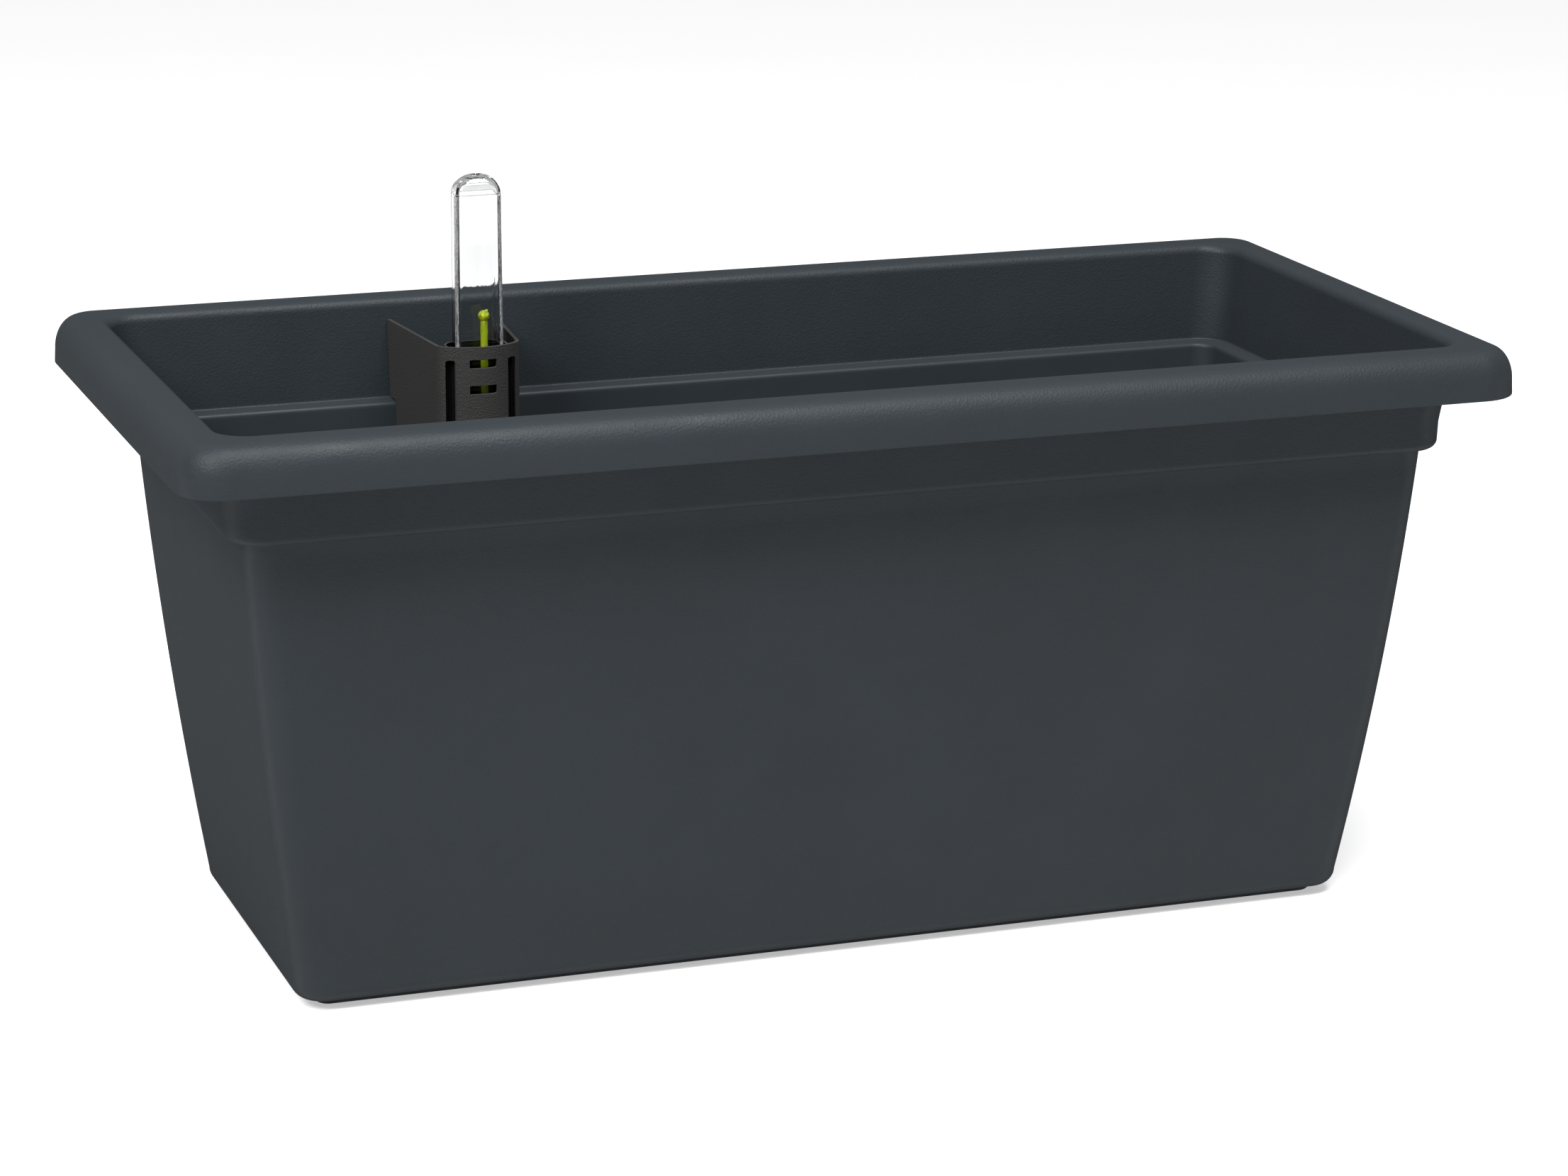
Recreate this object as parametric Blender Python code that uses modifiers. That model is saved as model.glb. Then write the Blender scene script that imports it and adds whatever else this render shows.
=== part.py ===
"""Self watering planter: an 80 cm trough with a filling shaft and a float gauge.

Frame: X along the trough, front towards -Y, +Z up, origin on the ground under
the middle of the trough.  Everything is in metres.
"""
import bpy
import bmesh
import math
from mathutils import Vector

# ------------------------------------------------------------------ dimensions
HALF_L = 0.4000            # half of the rim's length
HALF_W = 0.19554           # half of the rim's width
RIM_Z = 0.35118            # top of the rim
WALL = 0.0030              # moulded wall thickness

SKIRT_Z = 0.3230           # lower edge of the hanging rim skirt
SKIRT_DRAFT = 0.00045
ROUND_W = 0.01376          # outer rounding of the rim, width and height
ROUND_H = 0.01929
RIM_CORNER = 0.02784       # plan radius of the rim's corners

LIP_X, LIP_Y = 0.0235, 0.0262      # where the flat rim top starts to roll inwards
LIP_R = 0.0062
INNER_X, INNER_Y = 0.0292, 0.0317  # inner wall under the lip

BAND_TOP = 0.02872         # inset of the recessed band under the rim
BAND_BOT = 0.0327
BAND_CORNER = 0.0273
STEP_Z = 0.2862            # underside of the step below the band
STEP_R = 0.0050

BODY_INSET = 0.04195       # inset of the tapered body at its top
BODY_Z1 = 0.28942
BODY_Z0 = 0.01486
TAPER_X, TAPER_Y = 0.02966, 0.02912
BULGE = 0.00276
CORNER_TOP, CORNER_BOT = 0.01574, 0.01896
EDGE_R = 0.00981           # rounding between the walls and the underside

FOOT_X, FOOT_Y = 0.3147, 0.1108    # foot ring
FOOT_W = 0.0120
FOOT_Z = 0.00505
FLOOR_Z = 0.0080           # inside floor

SHELF_Z = 0.2893           # inner shelf that carries the shaft's wings

DECK_Z = 0.0850            # upper face of the false floor
DECK_T = 0.0025
DECK_GAP = 0.0010
CLEAR = 0.0003

SHAFT_X = -0.1617          # filling shaft
SHAFT_TOP = 0.3380
SHAFT_WALL = 0.0022
SHAFT_HALF = 0.0257
SHAFT_FRONT = 0.0755
SHAFT_BULGE = 0.0103

GAUGE_X, GAUGE_Y = -0.1606, 0.0815     # clear gauge tube
GAUGE_HX, GAUGE_HY, GAUGE_R = 0.0143, 0.0093, 0.0046
GAUGE_TAPER, GAUGE_ZT = 0.0004, 0.3350   # each side is this much less at the seam, from ZT up
GAUGE_WALL = 0.0018
GAUGE_Z0, GAUGE_Z1, GAUGE_TOP = 0.2297, 0.4285, 0.4400

CARRIER_X, CARRIER_Y = -0.1614, 0.0827
CARRIER_HX, CARRIER_HY, CARRIER_R = 0.0192, 0.0132, 0.0115
CARRIER_WALL = 0.0015
CARRIER_Z0, CARRIER_TOP = 0.2260, 0.3365

ROD_X, ROD_Y, ROD_R = -0.1570, 0.0812, 0.0022
BALL_Z, BALL_R = 0.3540, 0.0035

CAGE_X, CAGE_Y = -0.1610, 0.0855
CAGE_HX, CAGE_HY, CAGE_R = 0.0205, 0.0125, 0.0080
CAGE_WALL = 0.0014
FLOAT_HX, FLOAT_HY, FLOAT_R = 0.0181, 0.0101, 0.0060
FLOAT_Z0, FLOAT_Z1 = 0.0110, 0.0410

DRAIN_X, DRAIN_Z = 0.2600, 0.0520    # overflow plug in the back wall
BOSS_R, BOSS_Y0, BOSS_Y1 = 0.0170, 0.1225, 0.1330
DRAIN_HOLE_R, PLUG_R, PLUG_HEAD_R = 0.0082, 0.0077, 0.0135
SEAL_T = 0.0020

CORNER_SEGS = 6

# ------------------------------------------------------------------ scene setup
for ob in list(bpy.data.objects):
    bpy.data.objects.remove(ob, do_unlink=True)

parts = bpy.data.collections.new("self_watering_planter")
cutters = bpy.data.collections.new("cutters")
bpy.context.scene.collection.children.link(parts)
bpy.context.scene.collection.children.link(cutters)


def material(name, rgb, rough, metal=0.0, alpha=1.0):
    m = bpy.data.materials.new(name)
    m.use_nodes = True
    b = m.node_tree.nodes["Principled BSDF"]
    b.inputs["Base Color"].default_value = (rgb[0], rgb[1], rgb[2], 1.0)
    b.inputs["Roughness"].default_value = rough
    b.inputs["Metallic"].default_value = metal
    b.inputs["Alpha"].default_value = alpha
    m.diffuse_color = (rgb[0], rgb[1], rgb[2], alpha)
    return m


SHELL = ("shell_plastic", (0.040, 0.047, 0.053), 0.52)
DECK = ("deck_plastic", (0.030, 0.030, 0.031), 0.60)
SHAFT = ("shaft_plastic", (0.048, 0.047, 0.046), 0.55)
BLACK = ("black_plastic", (0.008, 0.008, 0.009), 0.30)
LIME = ("lime_plastic", (0.480, 0.600, 0.015), 0.35)
CLEARP = ("clear_plastic", (0.900, 0.930, 0.940), 0.05)
FOAM = ("float_plastic", (0.750, 0.750, 0.730), 0.50)
RUBBER = ("seal_rubber", (0.015, 0.015, 0.015), 0.75)


# ------------------------------------------------------------------ mesh helpers
def link(ob, cutter=False):
    (cutters if cutter else parts).objects.link(ob)
    if cutter:
        ob.hide_render = True
        ob.display_type = "WIRE"
    return ob


def finish(name, me, mat=None, cutter=False, smooth=True):
    if smooth:
        me.shade_smooth()
        me.set_sharp_from_angle(angle=math.radians(35))
    ob = bpy.data.objects.new(name, me)
    if mat:
        spec = mat
        me.materials.clear()
        me.materials.append(material(name + "_" + spec[0], spec[1], spec[2],
                                     alpha=0.35 if spec is CLEARP else 1.0))
    return link(ob, cutter)


def to_mesh(name, bm):
    bmesh.ops.recalc_face_normals(bm, faces=bm.faces)
    me = bpy.data.meshes.new(name)
    bm.to_mesh(me)
    bm.free()
    return me


def rounded_rect(hx, hy, r, z, cx=0.0, cy=0.0, n=CORNER_SEGS):
    pts = []
    for k, (sx, sy) in enumerate(((1, 1), (-1, 1), (-1, -1), (1, -1))):
        for i in range(n + 1):
            a = math.pi / 2 * (k + i / n)
            pts.append((cx + sx * (hx - r) + r * math.cos(a),
                        cy + sy * (hy - r) + r * math.sin(a), z))
    return pts


def loft(name, rings, loop=False):
    """Skin a list of rings; ends are capped, or joined together for a loop."""
    bm = bmesh.new()
    rows = [[bm.verts.new(p) for p in ring] for ring in rings]
    k = len(rows[0])
    pairs = list(zip(rows[:-1], rows[1:]))
    if loop:
        pairs.append((rows[-1], rows[0]))
    for a, b in pairs:
        for i in range(k):
            j = (i + 1) % k
            bm.faces.new((a[i], a[j], b[j], b[i]))
    if not loop:
        bm.faces.new(rows[0])
        bm.faces.new(rows[-1])
    return to_mesh(name, bm)


def boxes(name, specs, cutter=True):
    """Axis-aligned boxes given as (x0, x1, y0, y1, z0, z1) in one mesh."""
    bm = bmesh.new()
    for x0, x1, y0, y1, z0, z1 in specs:
        made = bmesh.ops.create_cube(bm, size=1.0)["verts"]
        for v in made:
            v.co = Vector(((x0 + x1) / 2 + v.co.x * (x1 - x0),
                           (y0 + y1) / 2 + v.co.y * (y1 - y0),
                           (z0 + z1) / 2 + v.co.z * (z1 - z0)))
    return finish(name, to_mesh(name, bm), cutter=cutter, smooth=False)


def cylinder_y(name, x, z, r, y0, y1, segs=40):
    bm = bmesh.new()
    made = bmesh.ops.create_cone(bm, cap_ends=True, segments=segs,
                                 radius1=r, radius2=r, depth=y1 - y0)["verts"]
    for v in made:
        v.co = Vector((x + v.co.x, (y0 + y1) / 2 - v.co.z, z + v.co.y))
    return finish(name, to_mesh(name, bm), cutter=True, smooth=False)


def boolean(ob, cutter, op="DIFFERENCE"):
    m = ob.modifiers.new(cutter.name, "BOOLEAN")
    m.operation = op
    m.solver = "EXACT"
    m.object = cutter
    return m


def turned(name, profile, steps, mat=None):
    """A profile of (radius, z) from top to bottom, turned about its own Z."""
    bm = bmesh.new()
    closed = profile[0] == profile[-1]
    vs = [bm.verts.new((r, 0.0, z)) for r, z in (profile[:-1] if closed else profile)]
    for a, b in zip(vs, vs[1:] + (vs[:1] if closed else [])):
        bm.edges.new((a, b))
    me = bpy.data.meshes.new(name)
    bm.to_mesh(me)
    bm.free()
    ob = finish(name, me, mat, smooth=False)
    sc = ob.modifiers.new("turn", "SCREW")
    sc.axis = "Z"
    sc.angle = 2 * math.pi
    sc.steps = steps
    sc.render_steps = steps
    sc.use_merge_vertices = True
    sc.merge_threshold = 0.00005
    sc.use_smooth_shade = True
    return ob


def evaluated_mesh(ob, name):
    dg = bpy.context.evaluated_depsgraph_get()
    me = bpy.data.meshes.new_from_object(ob.evaluated_get(dg), depsgraph=dg)
    me.name = name
    return me


def flat_plate(name, outline, z0, z1, mat):
    """A plate from a filled 2D outline, welded into a mesh object."""
    cu = bpy.data.curves.new(name + "_outline", "CURVE")
    cu.dimensions = "2D"
    cu.fill_mode = "BOTH"
    cu.extrude = (z1 - z0) / 2
    sp = cu.splines.new("POLY")
    sp.points.add(len(outline) - 1)
    for p, (x, y) in zip(sp.points, outline):
        p.co = (x, y, 0.0, 1.0)
    sp.use_cyclic_u = True
    src = bpy.data.objects.new(name + "_outline", cu)
    src.location = (0, 0, (z0 + z1) / 2)
    cutters.objects.link(src)
    bpy.context.view_layer.update()
    me = evaluated_mesh(src, name)
    bm = bmesh.new()
    bm.from_mesh(me)
    bmesh.ops.remove_doubles(bm, verts=bm.verts, dist=1e-6)
    bmesh.ops.dissolve_limit(bm, angle_limit=math.radians(0.2), verts=bm.verts, edges=bm.edges)
    bmesh.ops.recalc_face_normals(bm, faces=bm.faces)
    bm.to_mesh(me)
    bm.free()
    ob = finish(name, me, mat, smooth=False)
    ob.matrix_world = src.matrix_world
    bpy.data.objects.remove(src, do_unlink=True)
    return ob


def freeze(ob):
    """Keep an object's evaluated shape as its own mesh and drop its modifiers."""
    bpy.context.view_layer.update()
    me = evaluated_mesh(ob, ob.name)
    ob.modifiers.clear()
    ob.data = me
    return ob


# ------------------------------------------------------------------ trough
def body_half(z):
    """Outer half-length, half-width and corner radius of the tapered body."""
    u = (z - BODY_Z0) / (BODY_Z1 - BODY_Z0)
    swell = BULGE * 4 * u * (1 - u)
    return (HALF_L - BODY_INSET - TAPER_X * (1 - u) + swell,
            HALF_W - BODY_INSET - TAPER_Y * (1 - u) + swell,
            CORNER_TOP + (CORNER_BOT - CORNER_TOP) * (1 - u))


def quarter(n):
    return [math.pi / 2 * i / n for i in range(n + 1)]


def trough_rings():
    rings = []

    def at(hx, hy, r, z):
        rings.append(rounded_rect(hx, hy, max(r, 0.003), z))

    def inset(ix, iy, r, z):
        at(HALF_L - ix, HALF_W - iy, r, z)

    # foot ring, from the recessed underside outwards
    at(FOOT_X - FOOT_W - 0.0005, FOOT_Y - FOOT_W - 0.0005, 0.006, FOOT_Z)
    at(FOOT_X - FOOT_W, FOOT_Y - FOOT_W, 0.006, 0.0)
    for a in quarter(3):
        d = 0.0038 * (1 - math.sin(a))
        at(FOOT_X - d, FOOT_Y - d, 0.009 - d, 0.0038 * (1 - math.cos(a)))
    at(FOOT_X, FOOT_Y, 0.009, FOOT_Z)
    # rounded lower edge and the swelling, tapered walls
    bx, by, br = body_half(BODY_Z0)
    for a in quarter(4):
        d = EDGE_R * (1 - math.sin(a))
        at(bx - d, by - d, br - d, BODY_Z0 - EDGE_R * math.cos(a))
    for i in range(1, 9):
        z = BODY_Z0 + (STEP_Z - BODY_Z0) * i / 8
        at(*body_half(z)[:2], body_half(z)[2], z)
    # step out to the band
    for a in quarter(3):
        d = BAND_BOT + STEP_R * (1 - math.sin(a))
        inset(d, d, BAND_CORNER - (d - BAND_TOP), STEP_Z + STEP_R * (1 - math.cos(a)) + 0.0003)
    inset(BAND_TOP, BAND_TOP, BAND_CORNER, SKIRT_Z)
    # hollow channel under the rim
    inset(0.0266, 0.0270, 0.026, 0.3415)
    inset(0.0246, 0.0252, 0.025, 0.3466)
    inset(0.0222, 0.0236, 0.024, 0.3480)
    cz, ci = RIM_Z - ROUND_H, SKIRT_DRAFT + ROUND_W
    for a in quarter(4):
        d = ci - (ROUND_W - WALL) * math.sin(a)
        inset(d, d, 0.0265 - d * 0.6, cz + (ROUND_H - 0.0032) * math.cos(a))
    inset(WALL - 0.0004, WALL - 0.0004, 0.0252, SKIRT_Z + 0.0006)
    inset(WALL - 0.0010, WALL - 0.0010, 0.0256, SKIRT_Z)
    inset(0.0006, 0.0006, RIM_CORNER - 0.0006, SKIRT_Z)
    inset(0.0, 0.0, RIM_CORNER, SKIRT_Z + 0.0006)
    # skirt, rounding and flat top of the rim
    for a in quarter(6):
        d = SKIRT_DRAFT + ROUND_W * (1 - math.cos(a))
        inset(d, d, RIM_CORNER - d, cz + ROUND_H * math.sin(a))
    # lip rolling into the inner wall
    for a in quarter(4):
        t = math.sin(a)
        inset(LIP_X + (INNER_X - LIP_X) * t, LIP_Y + (INNER_Y - LIP_Y) * t,
              0.0215, RIM_Z - LIP_R * (1 - math.cos(a)))
    # inner wall, shelf and its rounded nose
    inset(0.0354, 0.0354, 0.0205, SHELF_Z + 0.0019)
    inset(0.0367, 0.0367, 0.0195, SHELF_Z)
    inset(0.0434, 0.0434, 0.0150, SHELF_Z - 0.0007)
    inset(0.0448, 0.0448, 0.0138, SHELF_Z - 0.0014)
    nx, ny, nr = body_half(SHELF_Z - 0.0034)
    at(nx - WALL, ny - WALL, nr - WALL, SHELF_Z - 0.0034)
    # inner wall of the body down to the floor
    for i in range(7, -1, -1):
        z = BODY_Z0 + (STEP_Z - BODY_Z0) * i / 8
        x, y, r = body_half(z)
        at(x - WALL, y - WALL, r - WALL, z)
    ri = BODY_Z0 - FLOOR_Z
    for a in quarter(3)[1:]:
        d = WALL + ri * (1 - math.cos(a))
        at(bx - d, by - d, br - d, BODY_Z0 - ri * math.sin(a))
    return rings


planter_box = finish("planter_box", loft("planter_box", trough_rings()), SHELL)

boss = cylinder_y("drain_boss", DRAIN_X, DRAIN_Z, BOSS_R, BOSS_Y0, BOSS_Y1)
boolean(planter_box, boss, "UNION")
ribs = boxes("floor_ribs", [(x - 0.0015, x + 0.0015, -0.0985, 0.0985, 0.0012, 0.0066)
                            for x in (-0.20, -0.10, 0.0, 0.10, 0.20)])
boolean(planter_box, ribs, "UNION")
hole = cylinder_y("drain_hole", DRAIN_X, DRAIN_Z, DRAIN_HOLE_R, BOSS_Y0 - 0.01, BOSS_Y1 + 0.01)
boolean(planter_box, hole)

# ------------------------------------------------------------------ false floor
DX = body_half(DECK_Z - DECK_T)[0] - WALL - DECK_GAP
DY = body_half(DECK_Z - DECK_T)[1] - WALL - DECK_GAP
DR = body_half(DECK_Z - DECK_T)[2] - WALL - DECK_GAP
SPLIT = 0.0005
CUPS = ((-0.2760, -0.0100), (-0.0560, -0.0100), (0.0900, 0.0), (0.2400, 0.0))
CUP_HOLE = 0.0300
LEGS = ((-0.3040, -0.0990), (-0.3040, 0.0990), (-0.0400, -0.0990),
        (-0.0400, 0.0990), (0.0400, -0.0990), (0.0400, 0.0990),
        (0.3040, -0.0990), (0.3040, 0.0990))
PEG_R = 0.0040
OPEN_X, OPEN_Y0, OPEN_Y1 = 0.0215, 0.0715, 0.1255


def deck_outline(sign):
    full = [(x, y) for x, y, z in rounded_rect(DX, DY, DR, 0.0, n=5)]
    half = [p for p in full if p[0] * sign > 0]
    edge = [(sign * SPLIT, -DY), (sign * SPLIT, DY)]
    if sign > 0:
        lower = [p for p in half if p[1] < 0]
        upper = [p for p in half if p[1] >= 0]
        return [edge[0]] + lower + upper + [edge[1]]
    upper = [p for p in half if p[1] >= 0]
    lower = [p for p in half if p[1] < 0]
    return [edge[1]] + upper + lower + [edge[0]]


def deck_holes(name, sign):
    """Round openings for the cups and the legs' pegs."""
    bm = bmesh.new()
    rounds = [(x, y, CUP_HOLE, 20) for x, y in CUPS] + [(x, y, PEG_R + 0.0005, 10) for x, y in LEGS]
    for x, y, r, n in rounds:
        if x * sign < 0:
            continue
        for v in bmesh.ops.create_cone(bm, cap_ends=True, segments=n, radius1=r,
                                       radius2=r, depth=0.03)["verts"]:
            v.co += Vector((x, y, DECK_Z))
    return finish(name, to_mesh(name, bm), cutter=True, smooth=False)


def deck_slots(sign):
    """Drain slots on a regular pitch, left out where something else is."""
    made = []
    if sign < 0:
        made.append((SHAFT_X - OPEN_X, SHAFT_X + OPEN_X, OPEN_Y0, OPEN_Y1,
                     DECK_Z - DECK_T - 0.010, DECK_Z + 0.004))
    for y in (-0.112, -0.084, -0.056, -0.028, 0.0, 0.028, 0.056, 0.084, 0.112):
        for ix in range(11):
            x = sign * (0.0300 + 0.0280 * ix)
            if abs(x) > DX - 0.012:
                continue
            if any(math.hypot(x - cx, y - cy) < CUP_HOLE + 0.014 for cx, cy in CUPS):
                continue
            if any(math.hypot(x - cx, y - cy) < 0.018 for cx, cy in LEGS):
                continue
            if sign < 0 and abs(x - SHAFT_X) < 0.045 and y > 0.045:
                continue
            if abs(x) < 0.05 and abs(abs(y) - 0.06) < 0.02:
                continue
            made.append((x - 0.00175, x + 0.00175, y - 0.0080, y + 0.0080,
                         DECK_Z - DECK_T - 0.010, DECK_Z + 0.004))
    return made


clip_cut = []
for k, cy in enumerate((-0.060, 0.060)):
    g = 0.0005
    bow = [(-0.0160 - g, -0.0100 - g), (0.0, -0.0050 - g), (0.0160 + g, -0.0100 - g),
           (0.0160 + g, 0.0100 + g), (0.0, 0.0050 + g), (-0.0160 - g, 0.0100 + g)]
    bm = bmesh.new()
    face = bm.faces.new([bm.verts.new((x, cy + y, DECK_Z - DECK_T - 0.002)) for x, y in bow])
    top = bmesh.ops.extrude_face_region(bm, geom=[face])["geom"]
    bmesh.ops.translate(bm, vec=(0, 0, DECK_T + 0.004),
                        verts=[v for v in top if isinstance(v, bmesh.types.BMVert)])
    clip_cut.append(finish("clip_notch_%d" % (k + 1), to_mesh("clip_notch", bm),
                           cutter=True, smooth=False))

for sign, name in ((-1, "platform_left"), (1, "platform_right")):
    deck = flat_plate(name, deck_outline(sign), DECK_Z - DECK_T, DECK_Z, DECK)
    xs = sorted((sign * 0.0180, sign * (DX - 0.0125)))
    rows = [(xs[0], xs[1], y) for y in (-0.0700, -0.0420, 0.0420)]
    if sign > 0:
        rows.append((xs[0], xs[1], 0.0700))
    boolean(deck, boxes(name + "_ribs",
                        [(x0, x1, y - 0.0010, y + 0.0010, DECK_Z - DECK_T - 0.006, DECK_Z - 0.0010)
                         for x0, x1, y in rows]), "UNION")
    for c in clip_cut:
        boolean(deck, c)
    boolean(deck, boxes(name + "_slots", deck_slots(sign)))
    boolean(deck, deck_holes(name + "_holes", sign))

for k, cy in enumerate((-0.060, 0.060)):
    bow = [(-0.0160, -0.0100), (0.0, -0.0050), (0.0160, -0.0100),
           (0.0160, 0.0100), (0.0, 0.0050), (-0.0160, 0.0100)]
    flat_plate("platform_clip_%d" % (k + 1), [(x, cy + y) for x, y in bow],
               DECK_Z - DECK_T, DECK_Z + 0.0002, DECK)

# support legs: turned posts with a peg through the false floor
LEG_TOP = DECK_Z - DECK_T - CLEAR
leg_profile = [(0.0, DECK_Z + 0.0010), (PEG_R, DECK_Z + 0.0010), (PEG_R, LEG_TOP),
               (0.0110, LEG_TOP), (0.0110, LEG_TOP - 0.0020), (0.0085, LEG_TOP - 0.0032),
               (0.0090, FLOOR_Z + 0.0080), (0.0120, FLOOR_Z + 0.0030), (0.0120, FLOOR_Z + CLEAR),
               (0.0100, FLOOR_Z + CLEAR), (0.0074, FLOOR_Z + 0.0100),
               (0.0066, LEG_TOP - 0.0100), (0.0, LEG_TOP - 0.0100)]
leg_mesh = None
for k, (x, y) in enumerate(LEGS):
    if leg_mesh is None:
        leg = turned("support_leg_1", leg_profile, 10, DECK)
        leg.location = (x, y, 0.0)
        freeze(leg)
        leg_mesh = leg.data
    else:
        leg = link(bpy.data.objects.new("support_leg_%d" % (k + 1), leg_mesh.copy()))
        leg.location = (x, y, 0.0)

# wicking cups hanging through the false floor into the water
CUP_TOP = DECK_Z + CLEAR + 0.0020
cup_profile = [(0.0270, CUP_TOP), (0.0335, CUP_TOP), (0.0342, CUP_TOP - 0.0008),
               (0.0342, DECK_Z + CLEAR), (0.0292, DECK_Z + CLEAR),
               (0.0240, FLOOR_Z + 0.0025), (0.0222, FLOOR_Z + 0.0008), (0.0, FLOOR_Z + 0.0008),
               (0.0, FLOOR_Z + 0.0028), (0.0216, FLOOR_Z + 0.0028), (0.0226, FLOOR_Z + 0.0038),
               (0.0270, CUP_TOP)]
cup_mesh = None
for k, (x, y) in enumerate(CUPS):
    name = "wick_cup_%d" % (k + 1)
    if cup_mesh is None:
        # the closed profile is split where it meets the axis
        cup = turned(name, [cup_profile[8]] + cup_profile[9:] + cup_profile[1:8], 20, DECK)
        freeze(cup)
        bm = bmesh.new()
        for j in range(6):
            a = math.pi / 3 * j + math.pi / 6
            made = bmesh.ops.create_cube(bm, size=1.0)["verts"]
            for v in made:
                px = 0.0250 + v.co.x * 0.0200
                py = v.co.y * 0.0030
                v.co = Vector((px * math.cos(a) - py * math.sin(a),
                               px * math.sin(a) + py * math.cos(a),
                               0.0420 + v.co.z * 0.0480))
        slots = finish("cup_slots", to_mesh("cup_slots", bm), cutter=True, smooth=False)
        boolean(cup, slots)
        freeze(cup)
        cup.location = (x, y, 0.0)
        cup_mesh = cup.data
    else:
        cup = link(bpy.data.objects.new(name, cup_mesh.copy()))
        cup.location = (x, y, 0.0)


# ------------------------------------------------------------------ filling shaft
def shaft_centre_line():
    """Outer plan line of the shaft, from the left wing round to the right wing."""
    half = SHAFT_HALF
    wing = Vector((0.0342, 0.1660))
    corner = Vector((half, SHAFT_FRONT))
    front = [Vector((half * t, SHAFT_FRONT - SHAFT_BULGE * (1 - t * t)))
             for t in [i / 6 for i in range(6)]]
    back = corner + (wing - corner).normalized() * 0.0045
    near = Vector((half * 0.84, SHAFT_FRONT - SHAFT_BULGE * (1 - 0.84 ** 2)))
    bend = [near * (1 - t) ** 2 + corner * 2 * t * (1 - t) + back * t * t
            for t in [i / 4 for i in range(5)]]
    right = front[:5] + bend + [wing]
    left = [Vector((-p.x, p.y)) for p in reversed(right[1:])]
    return left + right


def offset_line(line, d):
    out = []
    for i, p in enumerate(line):
        a = line[max(i - 1, 0)]
        b = line[min(i + 1, len(line) - 1)]
        t = (b - a).normalized()
        out.append(p + Vector((-t.y, t.x)) * d)
    return out


outer = shaft_centre_line()
inner = offset_line(outer, SHAFT_WALL)
shaft = flat_plate("filler_shaft",
                   [(SHAFT_X + p.x, p.y) for p in outer] +
                   [(SHAFT_X + p.x, p.y) for p in reversed(inner)],
                   DECK_Z + CLEAR, SHAFT_TOP, SHAFT)


def wall_inner_y(z):
    return body_half(z)[1] - WALL


def prism_x(name, poly, x0, x1):
    bm = bmesh.new()
    face = bm.faces.new([bm.verts.new((x0, y, z)) for y, z in poly])
    top = bmesh.ops.extrude_face_region(bm, geom=[face])["geom"]
    bmesh.ops.translate(bm, vec=(x1 - x0, 0, 0),
                        verts=[v for v in top if isinstance(v, bmesh.types.BMVert)])
    return finish(name, to_mesh(name, bm), cutter=True, smooth=False)


gap = 0.0006
wall_line = [(wall_inner_y(0.070 + (STEP_Z - 0.070) * i / 7) - gap, 0.070 + (STEP_Z - 0.070) * i / 7)
             for i in range(8)]
wall_line += [(wall_inner_y(STEP_Z) - gap, SHELF_Z + 0.0006),
              (HALF_W - 0.0374 - gap, SHELF_Z + 0.0006),
              (HALF_W - 0.0356 - gap, SHELF_Z + 0.0026),
              (HALF_W - INNER_Y - gap, RIM_Z - LIP_R),
              (HALF_W - INNER_Y - gap, 0.36), (0.20, 0.36), (0.20, 0.070)]
boolean(shaft, prism_x("shaft_wall_cut", wall_line, SHAFT_X - 0.06, SHAFT_X + 0.06))
cuts = []
for z0, z1 in ((0.3251, 0.3305), (0.3092, 0.3146)):
    cuts.append((SHAFT_X - 0.0084, SHAFT_X + 0.0084, 0.0560, 0.0730, z0, z1))
for s in (-1, 1):
    cuts.append((SHAFT_X + s * 0.0190 - 0.00275, SHAFT_X + s * 0.0190 + 0.00275,
                 0.0560, 0.0762, 0.2450, 0.3300))
boolean(shaft, boxes("shaft_windows", cuts))

# carrier clipped into the shaft: collar, side rails and the seat of the tube
def carrier_ring(grow, z, r):
    return rounded_rect(CARRIER_HX + grow, CARRIER_HY + grow, r, z, CARRIER_X, CARRIER_Y, n=6)


carrier = finish("gauge_carrier", loft("gauge_carrier", [
    carrier_ring(0, CARRIER_Z0, CARRIER_R), carrier_ring(0, CARRIER_TOP, CARRIER_R),
    carrier_ring(-CARRIER_WALL, CARRIER_TOP, CARRIER_R - CARRIER_WALL),
    carrier_ring(-CARRIER_WALL, CARRIER_Z0 + 0.0030, CARRIER_R - CARRIER_WALL)]), BLACK)
front = CARRIER_Y - CARRIER_HY
boolean(carrier, boxes("carrier_front_cut", [
    (CARRIER_X - 0.0162, CARRIER_X + 0.0162, front - 0.004, CARRIER_Y - 0.0030,
     CARRIER_Z0 + 0.0160, CARRIER_TOP - 0.0042)]))
boolean(carrier, boxes("carrier_rails", [
    (SHAFT_X + s * 0.0185 - 0.0023, SHAFT_X + s * 0.0185 + 0.0023, 0.0760, 0.0850,
     CARRIER_Z0 + 0.0010, 0.3322) for s in (-1, 1)]), "UNION")
bm = bmesh.new()
for v in bmesh.ops.create_cone(bm, cap_ends=True, segments=20, radius1=0.0050,
                               radius2=0.0050, depth=0.012)["verts"]:
    v.co += Vector((ROD_X, ROD_Y, CARRIER_Z0))
boolean(carrier, finish("carrier_rod_hole", to_mesh("carrier_rod_hole", bm),
                        cutter=True, smooth=False))


# cage that guides the float down in the water
def cage_ring(grow, z):
    return rounded_rect(CAGE_HX + grow, CAGE_HY + grow, CAGE_R + min(grow, 0), z,
                        CAGE_X, CAGE_Y, n=4)


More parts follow.
